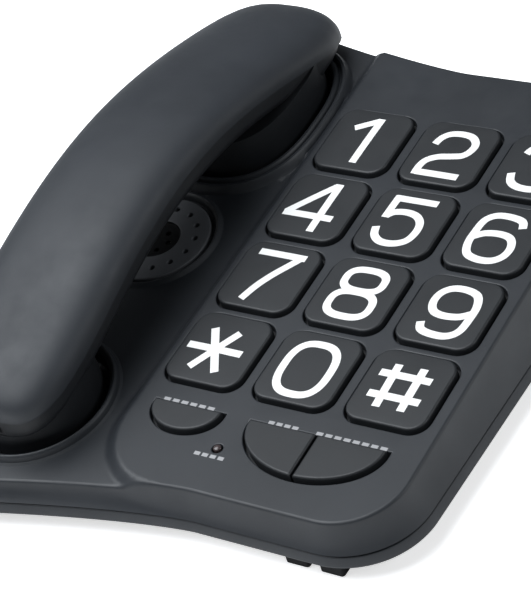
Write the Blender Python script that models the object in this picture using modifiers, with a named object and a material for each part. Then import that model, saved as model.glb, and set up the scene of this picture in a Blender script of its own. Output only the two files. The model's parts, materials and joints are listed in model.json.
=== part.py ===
"""Corded big-button desk telephone: a base with twelve square keys and three
function keys, and a handset that lies in a cradle on the left.

Everything is placed in the frame of the key panel, which leans up towards the
back: X to the right, Y up the keypad, Z out of the panel, with its origin at
the middle of the first key. Sizes are in metres.
"""

import math

import bmesh
import bpy
from mathutils import Vector

# ---------------------------------------------------------------- driving sizes

WALL = 0.0022
GAP = 0.0003                # between pieces that touch
PANEL_TILT = math.radians(4.8)

KEY_PITCH_X = 0.030
KEY_PITCH_Y = 0.030
KEY_WIDTH = 0.0252
KEY_LENGTH = 0.0264
KEY_CORNER = 0.005
KEY_CLEARANCE = 0.0008      # between a key and its window
KEY_PROUD = 0.0016          # key top above the panel
KEY_DEPTH = 0.0042          # key underside below the panel
KEY_FLANGE = 0.0016
KEY_TRAVEL = 0.0018

MOON_TOP_GAP = 0.0082       # straight top of the function keys below the last key row
MIC_KEY_X = 0.0024
MIC_KEY_HALF_WIDTH = 0.0112
MIC_KEY_HEIGHT = 0.0083
CALL_KEYS_X = 0.0449
CALL_KEYS_HALF_WIDTH = 0.0217
CALL_KEYS_HEIGHT = 0.0144
MOON_SIDE = 0.0008          # short upright sides of the function keys
CALL_KEYS_SPLIT = 0.0004    # half of the slit between the two call keys

PANEL_RIGHT_MARGIN = 0.0175   # last key column's centre to the panel's right crease
PANEL_FRONT_MARGIN = 0.0483   # last key row's centre to the panel's front crease
PANEL_REAR_MARGIN = 0.0370    # first key row's centre to the panel's rear crease
PANEL_LEFT_MARGIN = 0.0150    # first key column's centre to the step down to the deck
STEP_RUN = 0.0045
STEP_DROP = 0.0030            # the cradle deck lies this far below the panel
CORNER_FRONT_RIGHT = 0.0200
CORNER_REAR_RIGHT = 0.0140
CORNER_FRONT_LEFT = 0.0260
CORNER_REAR_LEFT = 0.0240
SWEEP_START_X = 0.0180        # the front and rear edges bow out to the left of this
SWEEP_POWER = 1.35

BODY_FRONT_DEPTH = 0.0145     # panel to the bottom edge, at the front crease
FLARE = 0.0040                # the walls lean out by this towards the bottom
SEAM_HEIGHT = 0.0045          # lower shell's wall height
SEAM_FLARE = 0.0032

HANDSET_LENGTH = 0.1850
HANDSET_Y = -0.0470           # middle of its length
HANDLE_HALF_WIDTH = 0.0215
EAR_END_HALF_WIDTH = 0.0261
MOUTH_END_HALF_WIDTH = 0.0243
END_ROUNDING = 5.0            # power of the rounded ends, seen from above
PARTING_HEIGHT = 0.0268       # parting line above the panel, at its highest
PARTING_Y = -0.0504
PARTING_FALL = 0.0169         # fall at FALL_RUN from the highest point
PARTING_FLATTEN = 0.0036
PARTING_SKEW = 0.0016
FALL_RUN_SHORTFALL = 0.0225   # half the handset's length less the run of that fall
CROWN_MIDDLE = 0.0085         # back of the handset above the parting line
CROWN_EAR = 0.0116
CROWN_MOUTH = 0.0138
CROWN_EAR_ROUNDING = 7.0
CROWN_MOUTH_ROUNDING = 3.2
INNER_INSET = 0.0012          # inner shell inside the outer one, each side
HANDLE_SIDE = 0.0088          # inner shell's side below the parting line
HANDSET_WALL = 0.0018
SHELL_LIP = 0.0008            # outer shell reaches this far below the parting line
HANDSET_LIFT_OFF = 0.0014     # handset ends above the cradle rims
CUP_BOTTOM = -0.0058          # underside of both cups, against the panel
CUP_CLEARANCE = 0.0022        # cup to cradle well, all round

HANDSET_TO_PANEL = 0.0331     # handset's centre line to the panel's left edge
DECK_LEFT_MARGIN = 0.0336     # handset's centre line to the base's left crease
DECK_FRONT_MARGIN = 0.0062    # handset rim to the base's front crease
DECK_REAR_MARGIN = 0.0057
EAR_WELL_HALF_WIDTH = 0.0256
EAR_WELL_HALF_LENGTH = 0.0306
EAR_WELL_INSET = 0.0388       # handset's rear tip to the middle of the ear well
EAR_WELL_POWER = 2.6
MOUTH_WELL_RADIUS = 0.0222
MOUTH_WELL_INSET = 0.0210     # handset's front tip to the middle of the mouth well
RIM_WIDTH = 0.0027
EAR_RIM_WIDTH = 0.0046
WELL_FLOOR = -0.0092          # against the panel
WELL_DRAFT = 0.0012

SPEAKER_RADIUS = 0.0175
SPEAKER_HUB_RADIUS = 0.0080
SPEAKER_HOLE_RING = 0.0130
SPEAKER_HOLE_RADIUS = 0.0011
SPEAKER_HOLES = 12
SPEAKER_HUB_HOLE_RING = 0.0045
SPEAKER_HUB_HOLES = 6
SPEAKER_HUB_SINK = 0.0006
SPEAKER_THICKNESS = 0.0016
SPEAKER_PROUD = 0.0004        # disc above the deck
SPEAKER_OFFSET = 0.0096       # behind the point halfway between the two wells
SPEAKER_LEDGE = 0.0020        # width of the ledge that the disc sits on

FOOT_HEIGHT = 0.0055
FOOT_BLOCK = 0.0075
FOOT_NOTCH = 0.0035
FOOT_LENGTH = 0.0090
FOOT_INSET_X = 0.0282
FOOT_INSET_FRONT = 0.0075
FOOT_INSET_REAR = 0.0120

SCREW_RADIUS = 0.0012
SCREW_HEAD_RADIUS = 0.0026
SCREW_HEAD_HEIGHT = 0.0016
SCREW_LENGTH = 0.0080
SCREW_POINT = 0.0010          # the screw tapers over this
SCREW_SINK = 0.0020           # pilot hole beyond the screw's tip
BOSS_RADIUS = 0.0032
TOWER_HEIGHT = 0.0040         # the lower shell's screw towers, above its underside
TOWER_WALL = 0.0015
HEAD_ROOM = 0.0026            # depth of the recess for a screw's head
SCREW_INSET_FRONT_RIGHT = (0.0070, 0.0155)   # from the panel's creases
SCREW_INSET_REAR_RIGHT = (0.0075, 0.0080)
SCREW_INSET_REAR_LEFT = (0.0035, 0.0060)
SCREW_INSET_FRONT_LEFT = (0.0070, 0.0090)    # from the deck's crease, from the mouth well

DOME_RADIUS = 0.0030
DOME_GAP = 0.0004             # key at full travel to the rubber dome under it
DOME_HEIGHT = 0.0012
CALL_DOME_X = 0.0100
CALL_DOME_Y = 0.0060
MEMBRANE_THICKNESS = 0.0010
BOARD_THICKNESS = 0.0016
BOARD_CORNER = 0.0020
KEYPAD_BOARD_EDGE = 0.0060    # last key column's centre to the keypad board's edge
MAIN_BOARD_LENGTH = 0.0800
MAIN_BOARD_Y = -0.0260
MAIN_BOARD_MARGIN_LEFT = 0.0120
MAIN_BOARD_MARGIN_RIGHT = 0.0180
BOARD_SPACING = 0.0030        # keypad board to the middle of the main board

LED_RADIUS = 0.0012
LED_DOME = 0.0006
LED_FLANGE = 0.0008
LED_FLANGE_THICKNESS = 0.0010
LED_OFFSET_X = 0.0160         # from the microphone key's middle
LED_DROP = 0.0112             # below the function keys' straight top

PLUNGER_WIDTH = 0.0090
PLUNGER_LENGTH = 0.0056
PLUNGER_CORNER = 0.0012
PLUNGER_OFFSET = 0.0050       # from the middle of the ear well
PLUNGER_RISE = 0.0025
PLUNGER_FLANGE = 0.0014
PLUNGER_FLANGE_THICKNESS = 0.0011
PLUNGER_STEM = 0.0024
SWITCH_SIZE = (0.0140, 0.0080, 0.0050)

JACK_PROUD = 0.0005           # the line jack's face out of the panel's rear crease
LINE_JACK_SIZE = (0.0130, 0.0140, 0.0115)
LINE_SOCKET = (0.0110, 0.0110, 0.0075)
LINE_JACK_INSET = 0.0200      # panel's right crease to the line jack
LINE_JACK_Z = -0.0140
CORD_JACK_SIZE = (0.0130, 0.0105, 0.0072)
CORD_SOCKET = (0.0110, 0.0078, 0.0056)
CORD_JACK_PROUD = 0.0002
CORD_JACK_OFFSET = 0.0385     # behind the middle of the mouth well
SOCKET_SINK = 0.0010          # a socket's cutter reaches this far out of its mouth
SLIDER_WIDTH = 0.0046
SLIDER_HEIGHT = 0.0026
SLIDER_REACH = 0.0020         # travel to each side
SLIDER_PROUD = 0.0026
SLIDER_FLANGE = 0.0012
SLIDER_Z = -0.0130
RINGER_SWITCH_OFFSET = 0.0190   # from the line jack
TONE_SWITCH_OFFSET = 0.0360

STATIONS = 24                 # sections along the handset
TIP_SHARE = 0.9999
HANDSET_SCREW_OFFSET = 0.0290   # from the middle of the handset's length
HANDSET_TOWER = 0.0052
HANDSET_TOWER_WALL = 0.0008
HANDSET_HEAD_ROOM = 0.0032
HANDSET_SCREW_GRIP = 0.0045
CUP_TOP_SINK = 0.0040         # the cups' walls run this far into the handle
CUP_EDGE = 0.0016
SOUND_HOLE_RADIUS = 0.0011
MOUTH_HOLE_RADIUS = 0.0009
SOUND_HOLE_RING = 0.0055
RECEIVER_RADIUS = 0.0165
RECEIVER_HEIGHT = 0.0070
MICROPHONE_RADIUS = 0.0049
MICROPHONE_HEIGHT = 0.0050
WEIGHT_SIZE = (0.0140, 0.0420, 0.0050)
WEIGHT_RISE = 0.0052
HANDSET_JACK_SIZE = (0.0095, 0.0120, 0.0074)
HANDSET_SOCKET = (0.0070, 0.0090, 0.0056)
HANDSET_JACK_Z = 0.0072
HANDSET_JACK_SINK = 0.0004

# ---------------------------------------------------------------- derived places

PANEL_LEFT = -PANEL_LEFT_MARGIN
PANEL_RIGHT = 2 * KEY_PITCH_X + PANEL_RIGHT_MARGIN
PANEL_FRONT = -3 * KEY_PITCH_Y - PANEL_FRONT_MARGIN
PANEL_REAR = PANEL_REAR_MARGIN
HANDSET_X = PANEL_LEFT - HANDSET_TO_PANEL
DECK_LEFT = HANDSET_X - DECK_LEFT_MARGIN
DECK_Z = -STEP_DROP
MOON_TOP_Y = -3 * KEY_PITCH_Y - KEY_LENGTH / 2 - MOON_TOP_GAP
FRONT_TIP = HANDSET_Y - HANDSET_LENGTH / 2
REAR_TIP = HANDSET_Y + HANDSET_LENGTH / 2
EAR_WELL_Y = REAR_TIP - EAR_WELL_INSET
MOUTH_WELL_Y = FRONT_TIP + MOUTH_WELL_INSET
DECK_FRONT = MOUTH_WELL_Y - MOUTH_WELL_RADIUS - RIM_WIDTH - DECK_FRONT_MARGIN
DECK_REAR = EAR_WELL_Y + EAR_WELL_HALF_LENGTH + EAR_RIM_WIDTH + DECK_REAR_MARGIN
SWEEP_LENGTH = SWEEP_START_X - HANDSET_X
SWEEP_FRONT = PANEL_FRONT - DECK_FRONT
SWEEP_REAR = DECK_REAR - PANEL_REAR
SPEAKER_Y = (MOUTH_WELL_Y + MOUTH_WELL_RADIUS + EAR_WELL_Y - EAR_WELL_HALF_LENGTH) / 2
SPEAKER_Y += SPEAKER_OFFSET
SPEAKER_TOP_Z = DECK_Z + SPEAKER_PROUD
SPEAKER_SEAT_Z = SPEAKER_TOP_Z - SPEAKER_THICKNESS - GAP
DOME_TOP = -KEY_DEPTH - KEY_TRAVEL - DOME_GAP
MEMBRANE_TOP = DOME_TOP - DOME_HEIGHT
LED_X = MIC_KEY_X + LED_OFFSET_X
LED_Y = MOON_TOP_Y - LED_DROP
PLUNGER_Y = EAR_WELL_Y + PLUNGER_OFFSET
LINE_JACK_X = PANEL_RIGHT - LINE_JACK_INSET
CORD_JACK_Y = MOUTH_WELL_Y + CORD_JACK_OFFSET
CORD_JACK_Z = DECK_Z - WALL - GAP - CORD_JACK_SIZE[2] / 2
SLIDER_PLACES = (
    ("ringer_switch", LINE_JACK_X - RINGER_SWITCH_OFFSET),
    ("tone_switch", LINE_JACK_X - TONE_SWITCH_OFFSET),
)
HANDSET_SCREW_Y = (HANDSET_Y + HANDSET_SCREW_OFFSET, HANDSET_Y - HANDSET_SCREW_OFFSET)


def depth(y):
    """Panel to bottom edge at y: the bottom edge is level when the panel leans."""
    return BODY_FRONT_DEPTH + math.tan(PANEL_TILT) * (y - PANEL_FRONT)


# ---------------------------------------------------------------- scene set-up

for old in list(bpy.data.objects):
    bpy.data.objects.remove(old, do_unlink=True)

PARTS = bpy.data.collections.new("desk_telephone")
CUTTERS = bpy.data.collections.new("cutters")
CUTTERS.hide_render = True
for new_collection in (PARTS, CUTTERS):
    bpy.context.scene.collection.children.link(new_collection)


def material(name, colour, roughness, metallic=0.0):
    made = bpy.data.materials.new(name)
    made.use_nodes = True
    shader = made.node_tree.nodes["Principled BSDF"]
    shader.inputs["Base Color"].default_value = (*colour, 1.0)
    shader.inputs["Roughness"].default_value = roughness
    shader.inputs["Metallic"].default_value = metallic
    return made


SHELL = material("shell_plastic", (0.050, 0.053, 0.060), 0.42)
KEYCAP = material("key_plastic", (0.042, 0.044, 0.050), 0.48)
GRILLE = material("grille_plastic", (0.085, 0.088, 0.095), 0.50)
RUBBER = material("foot_rubber", (0.012, 0.012, 0.013), 0.85)
MEMBRANE = material("membrane_rubber", (0.45, 0.45, 0.42), 0.75)
BOARD = material("circuit_board", (0.05, 0.20, 0.09), 0.55)
LENS = material("led_lens", (0.55, 0.05, 0.04), 0.20)
STEEL = material("screw_steel", (0.55, 0.55, 0.53), 0.35, 1.0)
SPEAKER_METAL = material("speaker_metal", (0.32, 0.32, 0.31), 0.45, 1.0)
JACK = material("jack_plastic", (0.020, 0.020, 0.022), 0.50)


def empty(name, parent=None, location=(0, 0, 0)):
    made = bpy.data.objects.new(name, None)
    made.parent = parent
    made.location = location
    PARTS.objects.link(made)
    return made


PANEL_FRAME = empty("panel_frame")
PANEL_FRAME.rotation_euler = (PANEL_TILT, 0, 0)


def add(name, mesh, finish=None, location=(0, 0, 0), parent=PANEL_FRAME):
    """A part when it has a finish, otherwise a cutter."""
    made = bpy.data.objects.new(name, mesh)
    made.parent = parent
    made.location = location
    if finish is None:
        made.hide_render = True
        made.display_type = "WIRE"
        CUTTERS.objects.link(made)
    else:
        mesh.materials.append(finish)
        PARTS.objects.link(made)
    return made


def smooth(obj, degrees=32):
    obj.data.shade_smooth()
    obj.data.set_sharp_from_angle(angle=math.radians(degrees))
    return obj


def boolean(target, tool, operation="DIFFERENCE"):
    step = target.modifiers.new(f"{operation.lower()}_{tool.name}"[:60], "BOOLEAN")
    step.operation = operation
    step.solver = "EXACT"
    step.object = tool
    return target


# ---------------------------------------------------------------- mesh builders


def loft(name, rings):
    """A closed solid through rings of equal point counts, capped at both ends."""
    shape = bmesh.new()
    rows = [[shape.verts.new(point) for point in ring] for ring in rings]
    count = len(rows[0])
    for low, high in zip(rows, rows[1:]):
        for i in range(count):
            j = (i + 1) % count
            shape.faces.new((low[i], low[j], high[j], high[i]))
    shape.faces.new(rows[0][::-1])
    shape.faces.new(rows[-1])
    bmesh.ops.recalc_face_normals(shape, faces=shape.faces)
    mesh = bpy.data.meshes.new(name)
    shape.to_mesh(mesh)
    shape.free()
    return mesh


def at_height(outline, z):
    return [(x, y, z) for x, y in outline]


def prism(name, outline, low, high):
    return loft(name, [at_height(outline, low), at_height(outline, high)])


def tube_outline(radius, count=24):
    steps = [2 * math.pi * i / count for i in range(count)]
    return [(radius * math.cos(a), radius * math.sin(a)) for a in steps]


def cylinder(name, radius, low, high, count=24):
    return prism(name, tube_outline(radius, count), low, high)


def arc(centre, radius, start, stop, count):
    """Points and outward normals along an arc, angles in degrees."""
    found = []
    for i in range(count + 1):
        angle = math.radians(start + (stop - start) * i / count)
        normal = (math.cos(angle), math.sin(angle))
        place = (centre[0] + radius * normal[0], centre[1] + radius * normal[1])
        found.append((place, normal))
    return found


def rounded_rectangle(width, length, corner, grow=0.0, count=3):
    half_x = width / 2 - corner
    half_y = length / 2 - corner
    found = []
    corners = ((half_x, half_y, 0), (-half_x, half_y, 90),
               (-half_x, -half_y, 180), (half_x, -half_y, 270))
    for x, y, start in corners:
        found += [place for place, _ in arc((x, y), corner + grow, start, start + 90, count)]
    return found


def superellipse(half_x, half_y, power, count=32):
    found = []
    for i in range(count):
        angle = 2 * math.pi * i / count
        c = math.cos(angle)
        s = math.sin(angle)
        reach = (abs(c) ** power + abs(s) ** power) ** (-1 / power)
        found.append((half_x * reach * c, half_y * reach * s))
    return found


def moved(outline, x, y):
    return [(px + x, py + y) for px, py in outline]


# ---------------------------------------------------------------- base outline


def sweep(distance, size):
    return size * (max(distance, 0.0) / SWEEP_LENGTH) ** SWEEP_POWER


def sweep_slope(distance, size):
    return size * SWEEP_POWER / SWEEP_LENGTH * (distance / SWEEP_LENGTH) ** (SWEEP_POWER - 1)


def left_corner(radius, size, start_y, side, count):
    """The bowed edge and the rounded corner it runs into, from right to left.

    side is 1 at the rear and -1 at the front. Returns points with normals.
    """
    centre_x = DECK_LEFT + radius
    lean = math.atan(sweep_slope(SWEEP_START_X - centre_x, size))
    end_x = centre_x + radius * math.sin(lean)
    found = []
    for i in range(count + 1):
        x = SWEEP_START_X + (end_x - SWEEP_START_X) * i / count
        slope = sweep_slope(SWEEP_START_X - x, size)
        scale = math.hypot(slope, 1)
        y = start_y + side * sweep(SWEEP_START_X - x, size)
        found.append(((x, y), (slope / scale, side / scale)))
    centre_y = start_y + side * sweep(SWEEP_START_X - end_x, size) - side * radius * math.cos(lean)
    turn = 90 - math.degrees(lean)
    found += arc((centre_x, centre_y), radius, side * turn, side * 180, 7)[1:]
    return found


def base_outline():
    """Points and normals round the base, anticlockwise from the front right."""
    r = CORNER_FRONT_RIGHT
    found = arc((PANEL_RIGHT - r, PANEL_FRONT + r), r, -90, 0, 7)
    r = CORNER_REAR_RIGHT
    found += arc((PANEL_RIGHT - r, PANEL_REAR - r), r, 0, 90, 6)
    found += left_corner(CORNER_REAR_LEFT, SWEEP_REAR, PANEL_REAR, 1, 6)
    front = left_corner(CORNER_FRONT_LEFT, SWEEP_FRONT, PANEL_FRONT, -1, 6)
    return found + front[::-1]


BASE_OUTLINE = base_outline()


def ring(grow, height):
    """The base outline pushed out by grow, at a height that may depend on y."""
    found = []
    for (x, y), (nx, ny) in BASE_OUTLINE:
        px = x + nx * grow
        py = y + ny * grow
        found.append((px, py, height(py) if callable(height) else height))
    return found


def seam(y):
    return SEAM_HEIGHT - depth(y)


def bottom(y):
    return -depth(y)


FOOTPRINT = ring(FLARE, bottom)


def level(point):
    """Y and Z of a panel-frame point once the panel leans."""
    turned = Vector(point)
    turned.rotate(PANEL_FRAME.rotation_euler)
    return turned


LEVELLED = [level(point) for point in FOOTPRINT]
CENTRE_X = (min(p.x for p in LEVELLED) + max(p.x for p in LEVELLED)) / 2
CENTRE_Y = (min(p.y for p in LEVELLED) + max(p.y for p in LEVELLED)) / 2
PANEL_FRAME.location = (-CENTRE_X, -CENTRE_Y, FOOT_HEIGHT + GAP - min(p.z for p in LEVELLED))

# ---------------------------------------------------------------- base: cutters


def ear_outline(grow):
    shape = superellipse(EAR_WELL_HALF_WIDTH + grow, EAR_WELL_HALF_LENGTH + grow, EAR_WELL_POWER)
    return moved(shape, HANDSET_X, EAR_WELL_Y)


def mouth_outline(grow):
    return moved(tube_outline(MOUTH_WELL_RADIUS + grow, 30), HANDSET_X, MOUTH_WELL_Y)


def deck_side(run):
    """The region left of the panel, with the panel's rounded front left corner."""
    x = PANEL_LEFT - run
    r = CORNER_FRONT_RIGHT + run
    beyond = 0.060
    corner = arc((x + r, PANEL_FRONT - run + r), r, 180, 270, 7)
    found = [(x, PANEL_REAR + beyond)] + [place for place, _ in corner]
    found += [(x + r, PANEL_FRONT - beyond), (DECK_LEFT - beyond, PANEL_FRONT - beyond)]
    found += [(DECK_LEFT - beyond, PANEL_REAR + beyond)]
    return found


def deck_cutter(name, sink):
    """Space above the deck; sink keeps it a wall away from the deck's surface."""
    lean = math.atan2(STEP_DROP, STEP_RUN)
    shift = sink * (1 - math.cos(lean)) / math.sin(lean)
    rise = 0.010
    low = at_height(deck_side(STEP_RUN - shift), DECK_Z - sink)
    top = at_height(deck_side(-shift - STEP_RUN * rise / STEP_DROP), rise - sink)
    return add(name, loft(name, [low, top]))


def well_cutter(name, outline, grow, floor):
    rings = [at_height(outline(grow - WELL_DRAFT), floor), at_height(outline(grow), 0.010)]
    return add(name, loft(name, rings))


def key_window(name, outline, x, y):
    return add(name, prism(name, outline, -0.010, 0.010), location=(x, y, 0))


KEYS = ("1", "2", "3", "4", "5", "6", "7", "8", "9", "star", "0", "hash")


def key_place(index):
    row, column = divmod(index, 3)
    return column * KEY_PITCH_X, -row * KEY_PITCH_Y


def half_moon(half_width, height, grow, low=-1.0, high=1.0):
    """A straight top with an arch hanging from it, kept between low and high in x."""
    count = 16
    reach = half_width + grow
    right = min(reach, high)
    left = max(-reach, low)
    outline = [(left, grow), (right, grow)]
    for i in range(count + 1):
        x = (right + left) / 2 + (right - left) / 2 * math.cos(math.pi * i / count)
        drop = (height + grow) * math.sqrt(max(1 - (x / reach) ** 2, 0.0))
        outline.append((x, -drop - MOON_SIDE))
    return outline


# name, middle, half width, height, and the slit that a key stops at
FUNCTION_KEYS = (
    ("mic_key", MIC_KEY_X, MIC_KEY_HALF_WIDTH, MIC_KEY_HEIGHT, -1.0, 1.0),
    ("flash_key", CALL_KEYS_X, CALL_KEYS_HALF_WIDTH, CALL_KEYS_HEIGHT, -1.0, -CALL_KEYS_SPLIT),
    ("redial_key", CALL_KEYS_X, CALL_KEYS_HALF_WIDTH, CALL_KEYS_HEIGHT, CALL_KEYS_SPLIT, 1.0),
)


def level_point(x, y, z=None):
    """World place of a panel-frame point; without z, on the base's underside."""
    spot = level((x, y, bottom(y) if z is None else z))
    return spot + PANEL_FRAME.location


SCREW_PLACES = (
    (PANEL_RIGHT - SCREW_INSET_FRONT_RIGHT[0], PANEL_FRONT + SCREW_INSET_FRONT_RIGHT[1]),
    (PANEL_RIGHT - SCREW_INSET_REAR_RIGHT[0], PANEL_REAR - SCREW_INSET_REAR_RIGHT[1]),
    (PANEL_LEFT + SCREW_INSET_REAR_LEFT[0], PANEL_REAR - SCREW_INSET_REAR_LEFT[1]),
    (DECK_LEFT + SCREW_INSET_FRONT_LEFT[0], MOUTH_WELL_Y - SCREW_INSET_FRONT_LEFT[1]),
)

# ---------------------------------------------------------------- base: upper shell


def base_upper_shell():
    outer = loft("base_upper_shell", [
        ring(SEAM_FLARE, seam),
        ring(0.0, -0.0014),
        ring(-0.0003, -0.0004),
        ring(-0.0010, 0.0),
    ])
    shell = add("base_upper_shell", outer, SHELL)
    hollow = add("base_hollow", loft("base_hollow", [
        ring(SEAM_FLARE - WALL, lambda y: seam(y) - 0.0020),
        ring(SEAM_FLARE - WALL, seam),
        ring(-WALL, -WALL),
    ]))
    boolean(hollow, deck_cutter("deck_underside", WALL))
    boolean(hollow, well_cutter("ear_well_underside", ear_outline, WALL, WELL_FLOOR - WALL))
    boolean(hollow, well_cutter("mouth_well_underside", mouth_outline, WALL, WELL_FLOOR - WALL))
    boolean(shell, hollow)
    deck = deck_cutter("deck_space", 0.0)
    boolean(deck, add("ear_rim", prism("ear_rim", ear_outline(EAR_RIM_WIDTH), -0.02, 0.02)))
    boolean(deck, add("mouth_rim", prism("mouth_rim", mouth_outline(RIM_WIDTH), -0.02, 0.02)))
    boolean(shell, deck)
    boolean(shell, well_cutter("ear_well", ear_outline, 0.0, WELL_FLOOR))
    boolean(shell, well_cutter("mouth_well", mouth_outline, 0.0, WELL_FLOOR))
    for index, label in enumerate(KEYS):
        window = rounded_rectangle(KEY_WIDTH, KEY_LENGTH, KEY_CORNER, KEY_CLEARANCE)
        boolean(shell, key_window(f"window_{label}", window, *key_place(index)))
    mic = half_moon(MIC_KEY_HALF_WIDTH, MIC_KEY_HEIGHT, KEY_CLEARANCE)
    boolean(shell, key_window("window_mic", mic, MIC_KEY_X, MOON_TOP_Y))
    call = half_moon(CALL_KEYS_HALF_WIDTH, CALL_KEYS_HEIGHT, KEY_CLEARANCE)
    boolean(shell, key_window("window_call", call, CALL_KEYS_X, MOON_TOP_Y))
    led_hole = cylinder("led_hole", LED_RADIUS + GAP, -0.01, 0.01, 16)
    boolean(shell, add("led_hole", led_hole, location=(LED_X, LED_Y, 0)))
    plunger_hole = rounded_rectangle(PLUNGER_WIDTH, PLUNGER_LENGTH, PLUNGER_CORNER, 2 * GAP)
    plunger_hole = prism("plunger_hole", plunger_hole, WELL_FLOOR - 0.01, WELL_FLOOR + 0.01)
    boolean(shell, add("plunger_hole", plunger_hole, location=(HANDSET_X, PLUNGER_Y, 0)))
    seat = cylinder("speaker_seat", SPEAKER_RADIUS + GAP, SPEAKER_SEAT_Z, 0.0, 40)
    boolean(shell, add("speaker_seat", seat, location=(HANDSET_X, SPEAKER_Y, 0)))
    mouth = cylinder("speaker_opening", SPEAKER_RADIUS - SPEAKER_LEDGE, -0.012, 0.0, 40)
    boolean(shell, add("speaker_opening", mouth, location=(HANDSET_X, SPEAKER_Y, 0)))
    for index, (x, y) in enumerate(SCREW_PLACES):
        under = -0.0010 if x > PANEL_LEFT else DECK_Z - 0.0010
        top = level_point(x, y, under).z
        spot = level_point(x, y)
        low = TOWER_HEIGHT + GAP
        boss = cylinder(f"boss_{index}", BOSS_RADIUS, low, top - spot.z, 16)
        boolean(shell, add(f"boss_{index}", boss, location=spot, parent=None), "UNION")
        pilot = cylinder(f"pilot_{index}", SCREW_RADIUS + GAP, 0.0, SCREW_LENGTH + SCREW_SINK, 12)
        boolean(shell, add(f"pilot_{index}", pilot, location=spot, parent=None))
    for name, x in SLIDER_PLACES:
        width = SLIDER_WIDTH + 2 * SLIDER_REACH + 2 * GAP
        slot = box(f"{name}_slot", width, 0.02, SLIDER_HEIGHT + 4 * GAP)
        boolean(shell, add(f"{name}_slot", slot, location=(x, PANEL_REAR, SLIDER_Z)))
    width, _, height = LINE_JACK_SIZE
    opening = box("line_jack_opening", width + 2 * GAP, 0.02, height + 2 * GAP)
    boolean(shell, add("line_jack_opening", opening, location=(LINE_JACK_X, PANEL_REAR, LINE_JACK_Z)))
    _, length, height = CORD_JACK_SIZE
    opening = box("cord_jack_opening", 0.02, length + 2 * GAP, height + 2 * GAP)
    boolean(shell, add("cord_jack_opening", opening, location=(DECK_LEFT, CORD_JACK_Y, CORD_JACK_Z)))
    return smooth(shell)


def box(name, width, length, height):
    """A box centred on its origin."""
    shape = bmesh.new()
    bmesh.ops.create_cube(shape, size=1.0)
    bmesh.ops.scale(shape, vec=(width, length, height), verts=shape.verts)
    mesh = bpy.data.meshes.new(name)
    shape.to_mesh(mesh)
    shape.free()
    return mesh


# ---------------------------------------------------------------- base: lower shell


def base_lower_shell():
    outer = loft("base_lower_shell", [
        ring(FLARE - 0.0008, bottom),
        ring(FLARE, lambda y: bottom(y) + 0.0008),
        ring(SEAM_FLARE, lambda y: seam(y) - GAP),
    ])
    shell = add("base_lower_shell", outer, SHELL)
    boolean(shell, add("lower_hollow", loft("lower_hollow", [
        ring(FLARE - WALL - 0.0006, lambda y: bottom(y) + WALL),
        ring(SEAM_FLARE - WALL, seam),
        ring(SEAM_FLARE - WALL, lambda y: seam(y) + 0.002),
    ])))
    for index, (x, y) in enumerate(SCREW_PLACES):
        spot = level_point(x, y)
        radius = SCREW_HEAD_RADIUS + GAP + TOWER_WALL
        tower = cylinder(f"tower_{index}", radius, WALL / 2 - 0.0001, TOWER_HEIGHT, 20)
        boolean(shell, add(f"tower_{index}", tower, location=spot, parent=None), "UNION")
        head = cylinder(f"head_room_{index}", SCREW_HEAD_RADIUS + GAP, -0.002, HEAD_ROOM, 20)
        boolean(shell, add(f"head_room_{index}", head, location=spot, parent=None))
        shank = cylinder(f"shank_room_{index}", SCREW_RADIUS + GAP, -0.002, 0.02, 12)
        boolean(shell, add(f"shank_room_{index}", shank, location=spot, parent=None))
    return smooth(shell)


def base_screws():
    for index, (x, y) in enumerate(SCREW_PLACES):
        head_low = HEAD_ROOM - GAP - SCREW_HEAD_HEIGHT
        profile = [(0, SCREW_LENGTH), (SCREW_RADIUS, SCREW_LENGTH - SCREW_POINT), (SCREW_RADIUS, HEAD_ROOM - GAP),
                   (SCREW_HEAD_RADIUS, HEAD_ROOM - GAP), (SCREW_HEAD_RADIUS * 0.8, head_low), (0, head_low)]
        turned(f"base_screw_{index + 1}", profile, STEEL, level_point(x, y), None, 16)


def turned(name, profile, finish, location, parent, steps=24):
    """A turned solid: the profile runs from the axis at the top, down the outside."""
    mesh = bpy.data.meshes.new(name)
    mesh.from_pydata([(x, 0, z) for x, z in profile], [(i, i + 1) for i in range(len(profile) - 1)], [])
    made = add(name, mesh, finish, location, parent)
    spin = made.modifiers.new("turn", "SCREW")
    spin.steps = steps
    spin.render_steps = steps
    spin.use_merge_vertices = True
    spin.merge_threshold = 0.00005
    return made


def feet():
    """Four rubber feet, each two blocks joined by a web along their back."""
    right = PANEL_RIGHT + FLARE - FOOT_INSET_X
    left = DECK_LEFT - FLARE + FOOT_INSET_X
    places = {
        "foot_front_right": (right, PANEL_FRONT - FLARE + FOOT_INSET_FRONT),
        "foot_front_left": (left, DECK_FRONT - FLARE + FOOT_INSET_FRONT + 0.002),
        "foot_rear_right": (right, PANEL_REAR + FLARE - FOOT_INSET_REAR),
        "foot_rear_left": (left, DECK_REAR + FLARE - FOOT_INSET_REAR),
    }
    for name, (x, y) in places.items():
        half = FOOT_BLOCK + FOOT_NOTCH / 2
        outline = [(-half, -FOOT_LENGTH / 2), (-FOOT_NOTCH / 2, -FOOT_LENGTH / 2),
                   (-FOOT_NOTCH / 2, 0.0015), (FOOT_NOTCH / 2, 0.0015),
                   (FOOT_NOTCH / 2, -FOOT_LENGTH / 2), (half, -FOOT_LENGTH / 2),
                   (half, FOOT_LENGTH / 2), (-half, FOOT_LENGTH / 2)]
        spot = level_point(x, y)
        add(name, prism(name, outline, -FOOT_HEIGHT - GAP, -GAP), RUBBER, spot, None)


# ---------------------------------------------------------------- keys


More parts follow.
